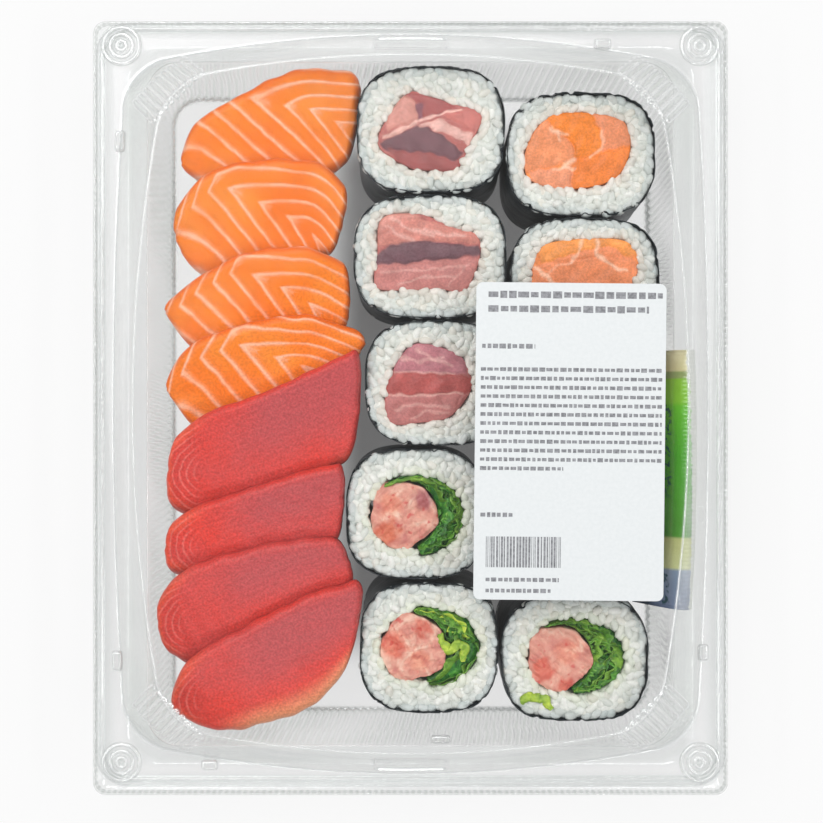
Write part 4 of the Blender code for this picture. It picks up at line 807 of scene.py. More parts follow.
# pieces of fish in a cut face: the tone between them, then each piece's tone and outline in mm
meat = {
    "m1": ("B56A64", (
        ("CF9084", ((-14.8, 3.8), (-11.9, 9.1), (-8.6, 11.8), (-4.3, 8.3), (-4.1, 2.7), (-9.1, 1.2), (-13.7, -0.1))),
        ("A65A58", ((-8.6, 12.1), (-3.8, 11.6), (4.0, 10.0), (9.1, 6.4), (3.3, 5.4), (-2.7, 3.3), (-4.3, 8.3))),
        ("8C5A64", ((-4.6, 8.1), (-2.5, 8.1), (-2.8, 3.3), (-4.3, 2.7))),
        ("C4746C", ((3.0, 4.7), (9.7, 6.6), (14.0, 6.9), (17.4, 4.7), (15.8, -1.2), (12.5, -0.7), (8.3, 2.0))),
        ("DBA69C", ((-3.4, 1.9), (3.0, 3.4), (8.3, 0.8), (13.3, -1.2), (12.5, -5.1), (6.9, -2.4), (2.6, -0.5))),
        ("DFA99C", ((-15.1, -1.7), (-9.4, 0.8), (-4.1, 2.6), (-4.5, 1.5), (-10.1, -1.2), (-15.5, -3.1))),
        ("745056", ((-16.5, -4.5), (-10.1, -1.2), (-4.3, 1.3), (1.2, -0.1), (6.9, -4.5), (10.8, -7.3), (8.1, -10.6),
                    (-0.2, -7.3), (-8.7, -7.0), (-13.7, -6.5))),
        ("9E5856", ((-13.7, -5.9), (-8.7, -6.8), (-0.2, -7.2), (8.1, -10.3), (12.5, -7.9), (8.6, -13.2),
                    (-0.2, -13.0), (-8.6, -12.0))))),
    "m2": ("B86E68", (
        ("CF8C80", ((-17.2, 11.9), (-15.1, 14.9), (-5.7, 14.8), (-2.5, 11.6), (-10.3, 10.7), (-14.2, 7.0), (-17.7, 7.0))),
        ("CB8478", ((-17.7, 7.0), (-10.3, 11.1), (-2.5, 11.8), (4.9, 10.1), (15.5, 9.0), (15.9, 4.3), (4.9, 4.7),
                    (-5.7, 4.7), (-12.8, 3.3), (-17.7, 3.4))),
        ("705057", ((-17.6, 0.5), (-12.8, 3.4), (-5.7, 5.1), (4.2, 4.3), (15.6, 3.6), (16.6, 0.5), (7.1, -0.7),
                    (-3.6, -1.7), (-17.3, -3.0))),
        ("BE7B75", ((-18.5, -10.9), (-17.3, -2.8), (-3.6, -1.7), (7.1, -0.7), (15.8, -0.5), (13.3, -9.6), (6.0, -12.5),
                    (-3.6, -11.8), (-7.8, -12.0), (-17.7, -12.0))))),
    "m3": ("A86460", (
        ("B4737A", ((-12.2, 13.3), (-3.2, 14.6), (9.7, 9.8), (9.7, 3.0), (-3.2, 2.3), (-13.8, 3.7))),
        ("AC5450", ((-16.9, 3.0), (-8.0, 3.7), (5.7, 3.0), (12.2, 1.6), (11.5, -2.5), (-3.2, -3.9), (-16.6, -3.5))),
        ("B26E6A", ((-17.0, -3.9), (-3.2, -3.9), (8.1, -3.2), (5.7, -11.4), (0.2, -14.9), (-10.1, -14.9),
                    (-16.3, -13.4))))),
    "r1": ("EA8440", (
        ("E58E60", ((-19.1, -2.9), (-17.0, 4.4), (-12.3, 13.7), (-8.1, 7.5), (-2.4, 3.4), (-1.4, -1.9), (-10.2, -4.1),
                    (-17.5, -6.0))),
        ("EA8230", ((-11.8, 13.2), (-4.0, 14.3), (5.4, 14.7), (7.0, 2.3), (2.3, -1.9), (-1.7, -1.4), (-2.9, 3.9),
                    (-7.6, 7.5))),
        ("E08A60", ((2.8, 14.5), (13.1, 13.2), (17.3, 8.6), (16.8, 3.4), (7.0, 0.8), (6.2, 7.5))),
        ("E67E38", ((-1.7, -1.9), (7.0, 0.8), (16.8, 2.8), (15.3, -5.9), (6.5, -11.1), (-2.9, -12.0), (-3.1, -5.0))),
        ("E6946E", ((-16.3, -5.5), (-2.9, -3.4), (-2.9, -12.7), (-8.1, -12.1), (-15.8, -10.1))))),
    "r2": ("EC8B4E", (
        ("F09850", ((-15.6, 10.9), (-9.3, 14.0), (1.1, 14.5), (15.6, 14.0), (18.8, 7.8), (1.1, 6.8), (-13.4, 4.7))),
        ("E88C5E", ((-17.6, 3.6), (-1.0, 8.9), (7.3, 10.9), (17.7, 4.7), (15.7, -0.5), (12.7, -12.2), (-15.6, -12.2))))),
    "r3": ("EC8B4E", (("F09850", ((-13.0, 6.0), (0.0, 13.0), (13.0, 9.0), (12.0, 1.0), (-6.0, -1.0))),))}
# pale sinews of a cut face: points in mm, half width and strength
sinews = {
    "m1": ((((-4.8, 2.4), (2.6, 4.9), (9.8, 6.6)), 0.3, 0.9), (((-15.2, -2.4), (-9.4, 0.3), (-4.4, 2.0)), 0.3, 0.5),
           (((-3.0, 1.2), (5.0, 1.6), (12.6, -2.6)), 0.5, 0.4), (((2.0, 0.6), (8.0, -1.6), (12.0, -4.0)), 0.4, 0.35)),
    "m2": ((((-13.6, 9.6), (-9.0, 6.2), (-5.0, 5.4)), 0.35, 0.45), (((-12.0, 12.4), (-7.0, 8.8), (1.0, 6.6)), 0.4, 0.5),
           (((-2.0, 8.6), (4.0, 7.0), (11.0, 6.6)), 0.4, 0.5), (((-15.5, -5.0), (-2.0, -4.4), (11.0, -3.0)), 0.3, 0.3),
           (((-10.0, -8.8), (-2.0, -6.6), (8.0, -6.2)), 0.3, 0.35), (((6.0, -9.4), (9.0, -6.0), (12.0, -2.0)), 0.3, 0.3)),
    "m3": ((((-12.0, 8.4), (-6.0, 6.6), (2.0, 8.4)), 0.4, 0.4), (((-6.0, 11.0), (-2.0, 8.4), (5.0, 5.6)), 0.4, 0.4),
           (((-15.6, 3.2), (-8.0, 3.8), (6.0, 3.0)), 0.25, 0.4), (((-15.4, -3.6), (-3.2, -4.0), (8.4, -2.8)), 0.25, 0.5),
           (((-13.0, -8.4), (-6.0, -6.8), (4.0, -7.4)), 0.4, 0.35), (((-8.0, -11.4), (-3.0, -9.0), (4.0, -9.6)), 0.4, 0.3)),
    "r1": ((((-9.6, 7.8), (-7.4, 6.4), (-4.0, 6.2)), 0.4, 0.6), (((-9.0, 8.8), (-7.4, 6.4), (-6.6, 4.4)), 0.3, 0.5),
           (((6.4, 7.4), (7.0, 2.4), (2.6, -1.4)), 0.3, 0.5), (((-1.8, -1.8), (-6.0, -4.0), (-2.6, -4.6)), 0.45, 0.6),
           (((-9.0, -5.0), (-4.0, -3.4), (-1.8, -2.0)), 0.4, 0.4)),
    "r2": ((((3.8, 12.8), (4.2, 7.6), (9.2, 4.0), (13.2, 2.6)), 0.4, 0.75), (((-0.9, 12.8), (-2.0, 8.6), (-4.4, 5.4)), 0.35, 0.6),
           (((-15.8, 4.0), (-12.4, 0.9), (-9.0, -1.8)), 0.4, 0.7), (((-12.4, 0.9), (-9.0, 4.4), (-4.4, 5.4)), 0.25, 0.4)),
    "r3": ((((-9.0, 6.0), (0.0, 7.0), (9.0, 4.0)), 0.45, 0.6), (((-9.0, -2.0), (0.0, -1.0), (9.0, -4.0)), 0.45, 0.6))}


def rollReach(width, depth, angle):
    # a rounded square by the superellipse formula with power 3, as the distance from its middle
    return (np.abs(2 * np.cos(angle) / width) ** 3 + np.abs(2 * np.sin(angle) / depth) ** 3) ** (-1 / 3)


def holeReach(name, angle):
    # the distance from a roll's middle to the edge of its filling
    if name in blocks:
        loop = smoothCurve(blocks[name], np.linspace(0, len(blocks[name]), 400, endpoint=False), closed=True)
    else:
        x, y, halfX, halfY, discX, discY, radius, sweepEnd = mincedRolls[name]
        t = np.linspace(0, turn, 400, endpoint=False)
        loop = np.column_stack([x + halfX * np.cos(t), y + halfY * np.sin(t)])
        # beside the disc the rice closes up to it
        turned = np.degrees(np.arctan2(loop[:, 1] - discY, loop[:, 0] - discX))
        bare = softStep(turned, sweepEnd, sweepEnd + 14) + 1 - softStep(turned, -80, -66)
        disc = np.array([[discX, discY]]) + (loop - [discX, discY]) * (
            (radius + 0.1) / np.hypot(loop[:, 0] - discX, loop[:, 1] - discY))[:, None]
        loop = loop + (disc - loop) * np.clip(bare, 0, 1)[:, None]
    known = np.arctan2(loop[:, 1], loop[:, 0])
    order = np.argsort(known)
    return np.interp(angle, known[order], np.hypot(*loop.T)[order], period=turn)


def placeRoll(name, x, y, z):
    # from a roll's own mm to the pack's, where the rolls lean together towards their feet
    depth = (rollTop - z) / (rollTop - rollFoot)
    centreX, centreY = rolls[name][:2]
    middleY = trayShape["middleY"]
    return np.stack([(centreX + x) * (1 - fan[0] * depth),
                     middleY + (centreY + y - middleY) * (1 - fan[1] * depth), z + 0 * x], -1)


def polar(name, reach, angle, z):
    return placeRoll(name, reach * np.cos(angle), reach * np.sin(angle), z + 0 * angle)


def buildNori(name):
    x, y, width, depth, filling, seed = rolls[name]
    angle = np.linspace(0, turn, 340, endpoint=False)
    reach = rollReach(width, depth, angle)
    heights = np.concatenate((np.linspace(0, 0.86, 9), [0.92, 0.96, 0.985, 1.0]))
    tear = 0.5 * np.clip(unevenness(reach * np.cos(angle), reach * np.sin(angle), 4, seed) + 0.3, 0, 1.8)
    curl = np.clip(unevenness(reach * np.cos(angle), reach * np.sin(angle), 5.5, seed + 40) - 0.5, 0, 0.8)
    rings = []
    for share in heights:
        z = rollFoot + (rollTop - rollFoot - tear) * share
        dent = 0.22 + 0.2 * unevenness(reach * angle * 0 + reach * np.cos(angle), z * 2 + reach * np.sin(angle), 12,
                                       seed + 7)
        inward = np.clip(dent, 0, 0.45) * softStep(share, 0, 0.1) + 1.5 * curl * softStep(share, 0.93, 1.0)
        rings.append(polar(name, reach - inward, angle, z))
    points = np.vstack(rings)
    thicken(newPiece("nori" + name.upper(), points * mm, gridFaces(len(rings), len(angle)), seaweed,
                     ("nori_" + name,)), 0.26 * mm)


def grainBodies(centres, axes, normals, sizes):
    # rice grains as long rounded bodies, blunter at one end: eight-sided, six rows from tip to tip
    rows, sides = 5, 8
    phi = np.linspace(0, math.pi, rows + 2)[1:-1]
    theta = np.linspace(0, turn, sides, endpoint=False)
    body = np.stack([np.repeat(-np.cos(phi), sides),
                     (np.sin(phi)[:, None] ** 0.8 * np.cos(theta)).ravel(),
                     (np.sin(phi)[:, None] ** 0.8 * np.sin(theta)).ravel()], -1)
    body = np.vstack([body, (-1, 0, 0), (1, 0, 0)])
    body[:, 1:] *= 1 - 0.13 * body[:, :1]
    body[:, 1] += 0.14 * body[:, 0] ** 2 - 0.07
    faces = gridFaces(rows, sides)
    ends = np.arange(sides)
    low, high = rows * sides, rows * sides + 1
    faces += np.column_stack([np.roll(ends, -1), ends, np.full(sides, low)]).tolist()
    last = ends + (rows - 1) * sides
    faces += np.column_stack([last, np.roll(last, -1), np.full(sides, high)]).tolist()
    axes = axes / np.linalg.norm(axes, axis=1)[:, None]
    beside = np.cross(normals, axes)
    beside /= np.linalg.norm(beside, axis=1)[:, None]
    above = np.cross(axes, beside)
    points = (centres[:, None] + body[None, :, :1] * sizes[:, None, :1] * axes[:, None]
              + body[None, :, 1:2] * sizes[:, None, 1:2] * beside[:, None]
              + body[None, :, 2:] * sizes[:, None, 2:] * above[:, None])
    count = len(body)
    joined = [[index + start for index in face] for start in range(0, len(centres) * count, count) for face in faces]
    return points.reshape(-1, 3), joined, count


def spread(draw, low, high, gap, allowed, tries):
    # chance points in a box, no closer than gap, where allowed says so
    spots = draw.uniform(low, high, (tries, len(low)))
    spots = spots[allowed(spots)]
    kept = np.empty((0, len(low)))
    for spot in spots:
        if not len(kept) or np.min(np.sum((kept - spot) ** 2, axis=1)) > gap * gap:
            kept = np.vstack([kept, spot])
    return kept


riceTones = np.array([linear(code) for code in ("EDEFE8", "E5E8E0", "F1F2EC", "DFE3DC", "E9E8DE")])


def buildRice(name):
    x, y, width, depth, filling, seed = rolls[name]
    draw = np.random.default_rng(seed)
    angle = np.linspace(0, turn, 260, endpoint=False)
    outer, inner = rollReach(width, depth, angle) - nori - 0.3, holeReach(name, angle) + 0.2

    def shaded(tone, r, a):
        # painted bluish grey shade beside the seaweed walls; tinted by the filling beside the hole
        edge = np.clip(1 - (rollReach(width, depth, a) - nori - 1.3 - r) / 2.2, 0, 1)[:, None]
        warm = np.clip(1 - (r - holeReach(name, a) - 0.8) / 2.4, 0, 1)[:, None]
        tintColour = linear("D9E2B8") if filling == "minced" else linear("E6CBB8")
        tone = tone * (1 - 0.5 * edge) + linear("A9B8BC") * 0.5 * edge
        return tone * (1 - 0.3 * warm) + tintColour * 0.3 * warm

    # the pressed mass between the grains, pitted here and there
    rings, reaches = [polar(name, outer, angle, rollFoot + 0.8)], [outer]
    for share in np.linspace(0, 1, 16):
        reach = outer + (inner - outer) * share
        pit = unevenness(reach * np.cos(angle), reach * np.sin(angle), 3.4, seed + 5)
        fall = 1.1 * (2 * abs(share - 0.5)) ** 4
        rings.append(polar(name, reach, angle, rollTop - 0.95 - fall + 0.42 * pit - 0.5 * np.clip(-pit - 0.6, 0, 1)))
        reaches.append(reach)
    rings.append(polar(name, inner, angle, rollFoot + 0.8))
    reaches.append(inner)
    points, faces = closedLoft(rings, caps=False, wrapRows=True)
    massTone = shaded(np.tile(linear("DFE2DB"), (len(points), 1)), np.concatenate(reaches), np.tile(angle, len(rings)))
    tones = [np.column_stack([massTone, np.ones(len(points))])]
    for gap, sink, face in ((2.0, 0.0, 1), (2.1, 0.45, 1), (2.8, 0.0, -1)):
        def allowed(spots):
            r, a = np.hypot(*spots.T), np.arctan2(spots[:, 1], spots[:, 0])
            return (r < rollReach(width, depth, a) - nori - 1.2) & (r > holeReach(name, a) + 0.7)

        spots = spread(draw, (-width / 2, -depth / 2), (width / 2, depth / 2), gap, allowed, 2600)
        r, a = np.hypot(*spots.T), np.arctan2(spots[:, 1], spots[:, 0])
        size = np.column_stack([draw.uniform(1.9, 2.7, len(r)), draw.uniform(1.3, 1.6, len(r)),
                                draw.uniform(1.2, 1.45, len(r))])
        room = np.minimum(rollReach(width, depth, a) - nori - 0.3 - r, 0.9 + r - holeReach(name, a))
        most = np.arcsin(np.clip((room - 0.2) / size[:, 0], 0.12, 1))
        heading = a + math.pi / 2 + draw.uniform(-1, 1, len(r)) * most
        tilt = draw.uniform(-0.5, 0.5, len(r))
        axes = np.column_stack([np.cos(heading) * np.cos(tilt), np.sin(heading) * np.cos(tilt), np.sin(tilt)])
        level = rollTop - size[:, 2] * 1.1 - sink + draw.uniform(-0.3, 0.2, len(r))
        if face < 0:
            level = rollFoot + size[:, 2] + draw.uniform(0, 0.4, len(r))
        centres = placeRoll(name, spots[:, 0], spots[:, 1], level)
        normals = np.column_stack([draw.uniform(-0.2, 0.2, (len(r), 2)), np.full(len(r), 1.0)])
        grains, bodies, count = grainBodies(centres, axes, normals, size)
        faces += [[index + len(points) for index in body] for body in bodies]
        points = np.vstack([points, grains])
        tone = shaded(riceTones[draw.integers(0, len(riceTones), len(r))], r, a)
        tones.append(np.repeat(np.column_stack([tone, np.ones(len(r))]), count, 0))
    newPiece("rice" + name.upper(), points * mm, faces, rice, ("rice_" + name,),
             {"grainTint": np.vstack(tones)})


def lineDistance(x, y, points):
    # the distance from each place to a line of joined points
    nearest = np.full(np.shape(x), 1e9)
    for (ax, ay), (bx, by) in zip(points[:-1], points[1:]):
        share = np.clip(((x - ax) * (bx - ax) + (y - ay) * (by - ay)) / ((bx - ax) ** 2 + (by - ay) ** 2), 0, 1)
        nearest = np.minimum(nearest, np.hypot(x - ax - share * (bx - ax), y - ay - share * (by - ay)))
    return nearest


def insideOf(x, y, outline):
    # whether each place lies inside a closed outline: an odd number of edges lie to its right
    odd = np.zeros(np.shape(x), bool)
    for (ax, ay), (bx, by) in zip(outline, outline[1:] + outline[:1]):
        if ay != by:
            odd ^= ((ay > y) != (by > y)) & (x < (bx - ax) * (y - ay) / (by - ay) + ax)
    return odd


def cutFace(name, reach, angle, middle, seed, rings=44):
    # an upright body with a cut top: its rings from the foot up its side, then in to the middle of the face
    shares = np.concatenate(([1, 1], 1 - np.linspace(0, 1, rings) ** 1.15 * 0.985))
    x = middle[0] + shares[:, None] * reach * np.cos(angle)
    y = middle[1] + shares[:, None] * reach * np.sin(angle)
    fromEdge = (1 - shares)[:, None] * reach
    z = rollTop - 1.0 + 0.75 * np.sqrt(np.clip(fromEdge / 1.8, 0, 1)) + 0.22 * unevenness(x, y, 7, seed)
    z[0] = rollFoot
    z[1] = z[2] - 0.6
    return x, y, z


def buildBlock(name):
    x, y, width, depth, filling, seed = rolls[name]
    angle = np.linspace(0, turn, 180, endpoint=False)
    faceX, faceY, z = cutFace(name, holeReach(name, angle), angle, (0.0, 0.0), seed)
    wobbleX = faceX + 0.4 * unevenness(faceX, faceY, 5, seed + 1)
    wobbleY = faceY + 0.4 * unevenness(faceX, faceY, 5, seed + 2)
    tone = np.zeros((*faceX.shape, 3)) + linear(meat[name][0])
    for code, outline in meat[name][1]:
        inside = insideOf(wobbleX, wobbleY, outline)
        gap = lineDistance(wobbleX, wobbleY, outline + outline[:1]) * np.where(inside, 1, -1)
        tone += (linear(code) - tone) * softStep(gap, -0.35, 0.35)[..., None]
        z[2:] -= 0.25 * (1 - softStep(np.abs(gap[2:]), 0.1, 0.8))
    pale = linear("E9BDB2") if filling == "tuna" else linear("F7C9AC")
    for line, half, strength in sinews[name]:
        gap = lineDistance(wobbleX, wobbleY, line)
        tone += (pale - tone) * (strength * (1 - softStep(gap, half * 0.3, half * 2.4)))[..., None]
    rings = placeRoll(name, faceX, faceY, z)
    points, faces = closedLoft(rings)
    newPiece("filling" + name.upper(), points * mm, faces, salmonBlock if filling == "salmon" else tunaBlock,
             ("filling_" + name,),
             {"meat": np.concatenate([tone, np.ones_like(tone[..., :1])], -1).reshape(-1, 4)})


# patches of other tone on the minced tuna: a multiplying colour, its middle and its size in mm
mincePatches = {"m4": (("C6A0B4", 2.6, 4.6, 4.4), ("F0B8A0", -9.0, -6.0, 5.5), ("FFE4D8", -8.0, 3.0, 5.0)),
                "m5": (("F4B4A8", -11.5, 1.0, 6.0), ("E8A8A0", -2.0, 6.5, 4.0), ("FFE8DC", -3.0, -4.0, 4.5)),
                "r4": (("F0B8A8", -8.0, -4.0, 5.0), ("FFE8DC", -3.0, 3.0, 4.0)),
                "r5": (("F0ACA4", -10.0, -3.5, 5.0), ("FFE8E0", -2.5, 2.0, 5.5), ("F2B4AC", -3.0, -8.5, 3.5))}


def buildMince(name):
    seed = rolls[name][5]
    discX, discY, radius = mincedRolls[name][4:7]
    angle = np.linspace(0, turn, 160, endpoint=False)
    reach = radius * (0.99 + 0.05 * np.sin(3 * angle + seed) + 0.035 * np.sin(5 * angle + 2 * seed)
                      + 0.015 * np.sin(11 * angle + 3 * seed))
    faceX, faceY, z = cutFace(name, reach, angle, (discX, discY), seed)
    z[2:] += 0.32 * unevenness(faceX[2:], faceY[2:], 2.6, seed + 3) + 0.1 * unevenness(faceX[2:], faceY[2:], 1.1, seed + 4)
    rings = placeRoll(name, faceX, faceY, z)
    points, faces = closedLoft(rings)
    tone = np.ones((*faceX.shape, 4)) * linear("FFFFFF")[0]
    for code, x, y, size in mincePatches[name]:
        share = 1 - softStep(np.hypot(faceX - x, faceY - y) + 0.8 * unevenness(faceX, faceY, 4, seed + 8), 0.4 * size, size)
        tone[..., :3] += (linear(code) - tone[..., :3]) * share[..., None]
    newPiece("filling" + name.upper(), points * mm, faces, minced, ("filling_" + name,),
             {"meat": tone.reshape(-1, 4)})


# leaf that curls over the filling or lies on the rice: its line and half width in mm
strayLeaves = {"m4": (((6.0, 9.6), (0.5, 11.0), (-5.0, 10.6), (-10.0, 8.6)), 0.6),
               "m5": (((3.4, 4.6), (4.6, 1.4), (6.6, -0.6), (9.6, 1.4), (11.4, -0.6), (10.4, -4.2)), 1.5),
               "r4": (((4.0, 9.2), (-2.0, 10.6), (-8.0, 8.6)), 0.6),
               "r5": (((-17.2, -14.2), (-14.8, -12.2), (-12.0, -12.6), (-9.6, -13.0), (-7.6, -16.2)), 1.5)}


def buildLeaves(name):
    seed = rolls[name][5]
    draw = np.random.default_rng(seed + 60)
    holeX, holeY, halfX, halfY, discX, discY, radius, sweepEnd = mincedRolls[name]

    def farReach(angle):
        # from the disc's middle to the hole's edge
        px, py, dx, dy = (discX - holeX) / halfX, (discY - holeY) / halfY, np.cos(angle) / halfX, np.sin(angle) / halfY
        a, b, k = dx * dx + dy * dy, px * dx + py * dy, px * px + py * py - 1
        return np.maximum((-b + np.sqrt(b * b - a * k)) / a - 0.2, radius + 0.7)

    def spot(angle, share, z):
        reach = radius + 0.3 + (farReach(angle) - radius - 0.4) * share
        return placeRoll(name, discX + reach * np.cos(angle), discY + reach * np.sin(angle), z)

    # a core of packed leaf under the blades that show
    angle = np.radians(np.linspace(-66, 84, 40))
    loop = np.array([(0.0, rollFoot), (1.0, rollFoot), (1.0, rollTop - 3.0), (0.75, rollTop - 2.3),
                     (0.25, rollTop - 2.3), (0.0, rollTop - 3.0)])
    rings = np.stack([spot(angle, share, z) for share, z in loop], 1)
    points, faces = closedLoft(rings)
    faces = [face[::-1] for face in faces]
    heart = [np.zeros(len(points))]
    long, wide = 30, 7
    s, t = np.meshgrid(np.linspace(0, 1, long), np.linspace(0, 1, wide), indexing="ij")
    for number in range(22):
        first = draw.uniform(-70, 50)
        span = draw.uniform(35, 95)
        last = min(first + span, 86)
        if number < 4:
            first, last = draw.uniform(60, 78), sweepEnd + draw.uniform(-6, 4)
        home = draw.uniform(0.1, 0.9)
        lean = draw.choice((-1, 1)) * draw.uniform(0.15, 0.5)
        share = home + 0.13 * np.sin(turn * (s * draw.uniform(0.6, 1.6) + draw.uniform())) + lean * (1 - t)
        share += 0.09 * np.sin(turn * (s * draw.uniform(3, 6) + draw.uniform())) * t
        share = np.clip(share, 0.02, 0.98)
        top = rollTop - draw.uniform(0.15, 1.3)
        z = top - draw.uniform(1.6, 3.2) * (1 - t) ** 1.3
        z = z + 0.32 * np.sin(turn * (s * draw.uniform(2, 5) + draw.uniform())) * t
        z = np.minimum(z - 0.9 * (2 * s - 1) ** 6, rollTop + 0.15)
        blade = spot(np.radians(first + (last - first) * s), share, z)
        faces += (np.array(gridFaces(long, wide, wrapColumns=False)) + len(points)).tolist()
        points = np.vstack([points, blade.reshape(-1, 3)])
        bright = 1.0 if number in (5, 9) and name in ("m5", "r4") else draw.uniform(0, 0.25)
        heart.append(np.full(long * wide, bright))
    line, half = strayLeaves[name]
    line = smoothCurve(line, np.linspace(0, len(line) - 1, 60))
    ahead = np.gradient(line, axis=0)
    ahead /= np.linalg.norm(ahead, axis=1)[:, None]
    t = np.linspace(-1, 1, wide)
    run = np.linspace(0, 1, 60)[:, None]
    half = half * (1 - 0.5 * (2 * run - 1) ** 4)
    ruffle = np.sin(turn * (run * 4 + 0.2 * t)) * t
    x = line[:, :1] - ahead[:, 1:] * t * half + 0.3 * ruffle
    y = line[:, 1:] + ahead[:, :1] * t * half + 0.3 * ruffle
    z = rollTop + 0.25 + 0.5 * ruffle - 0.5 * t ** 2
    faces += (np.array(gridFaces(60, wide, wrapColumns=False)) + len(points)).tolist()
    points = np.vstack([points, placeRoll(name, x, y, z).reshape(-1, 3)])
    pale = {"m4": 0.3, "r4": 0.3}.get(name, 0.85)
    heart.append(np.repeat(pale * (0.55 + 0.45 * np.sin(5 * run[:, 0]) ** 2), wide))
    piece = newPiece("leaves" + name.upper(), points * mm, faces, leaf, ("leaves_" + name,),
                     {"heart": np.concatenate(heart)})
    thicken(piece, 0.22 * mm, 0.0)


for name in rolls:
    buildNori(name)
    buildRice(name)
    if name in blocks:
        buildBlock(name)
    else:
        buildMince(name)
        buildLeaves(name)
print("rolls made")

# Slices of fish: upper and lower edge from left to right, in mm, and how the fat runs over them: level of the
# upper arms below the edge, their spacing, their drift and squeeze to the right, then the lower arms' place,
# their spacing, the line where they bend, and the slants of the middle and lower arms
slices = {
    "salmon_1": (((-73.5, 80.5), (-68.0, 90.5), (-54.0, 98.5), (-36.0, 107.0), (-15.5, 108.0)),
                 ((-72.5, 75.5), (-61.0, 70.0), (-46.0, 72.5), (-30.0, 73.5), (-18.8, 81.0)),
                 (-4.2, 8.4, 5.2, 4.4, 6.2, 5.1, 0.0, 0.0, 0.8)),
    "salmon_2": (((-76.5, 61.5), (-66.0, 73.2), (-50.5, 77.8), (-29.0, 77.6), (-19.6, 69.5)),
                 ((-73.5, 48.0), (-62.0, 40.5), (-48.0, 44.5), (-35.0, 46.5), (-24.5, 50.0)),
                 (2.5, 5.5, 2.0, 1.0, 2.3, 5.5, 6.0, 0.73, 0.68)),
    "salmon_3": (((-79.0, 33.5), (-66.5, 42.0), (-52.0, 49.0), (-32.0, 50.8), (-19.4, 45.0)),
                 ((-77.5, 28.0), (-67.0, 17.0), (-52.0, 21.0), (-36.0, 24.5), (-20.5, 24.0)),
                 (1.6, 6.1, 3.0, 1.8, 11.6, 5.5, 5.0, 0.73, 0.66)),
    "salmon_4": (((-78.5, 8.5), (-70.0, 20.0), (-53.0, 26.3), (-33.0, 29.5), (-13.4, 23.0)),
                 ((-77.0, 3.0), (-67.0, -7.0), (-50.0, -1.0), (-34.0, 6.0), (-19.0, 13.5)),
                 (1.1, 5.9, 4.6, 2.2, 6.7, 6.3, 6.0, 0.73, 0.68)),
    "tuna_1": (((-76.5, -11.0), (-66.0, -2.5), (-46.0, 5.3), (-30.0, 12.5), (-15.2, 19.6)),
               ((-79.0, -32.0), (-66.0, -36.0), (-50.0, -29.5), (-34.0, -24.5), (-17.8, -15.5))),
    "tuna_2": (((-77.5, -37.0), (-68.0, -31.5), (-52.0, -25.5), (-34.0, -20.0), (-20.6, -16.6)),
               ((-79.0, -52.0), (-67.0, -55.0), (-52.0, -49.5), (-36.0, -45.5), (-22.4, -43.0))),
    "tuna_3": (((-81.3, -60.5), (-70.0, -50.5), (-54.0, -45.0), (-37.0, -41.5), (-22.0, -40.5)),
               ((-80.0, -77.5), (-68.0, -83.5), (-52.0, -74.0), (-34.0, -64.0), (-17.4, -57.0))),
    "tuna_4": (((-76.5, -91.0), (-70.0, -79.5), (-54.0, -69.8), (-32.0, -58.6), (-14.2, -53.6)),
               ((-75.5, -98.0), (-62.0, -103.5), (-46.0, -101.0), (-30.0, -94.5), (-18.6, -80.0)))}
sliceShape = {"topZ": 31.0, "thick": 5.4, "edge": 1.6, "lean": 0.25, "droop": 0.0052, "gap": 0.6, "round": 3.2,
              "steps": (170, 70), "finger": (23.0, 8.6), "fingerShift": -3.2}


class Lie:
    # where a slice lies, and the height of its underside over x and y
    def __init__(self, upper, lower, before):
        left, right = (np.array(upper[0]) + lower[0]) / 2, (np.array(upper[-1]) + lower[-1]) / 2
        self.along = (right - left) / np.linalg.norm(right - left)
        self.centre = (np.array(upper[2]) + lower[2]) / 2
        self.before = before

    def bottom(self, x, y):
        dx, dy = x - self.centre[0], y - self.centre[1]
        t, s = dx * self.along[0] + dy * self.along[1], dy * self.along[0] - dx * self.along[1]
        own = sliceShape["topZ"] - sliceShape["thick"] + sliceShape["lean"] * s - sliceShape["droop"] * t * t
        if self.before:
            own = np.maximum(own, self.before.bottom(x, y) + sliceShape["thick"] + sliceShape["gap"])
        return own


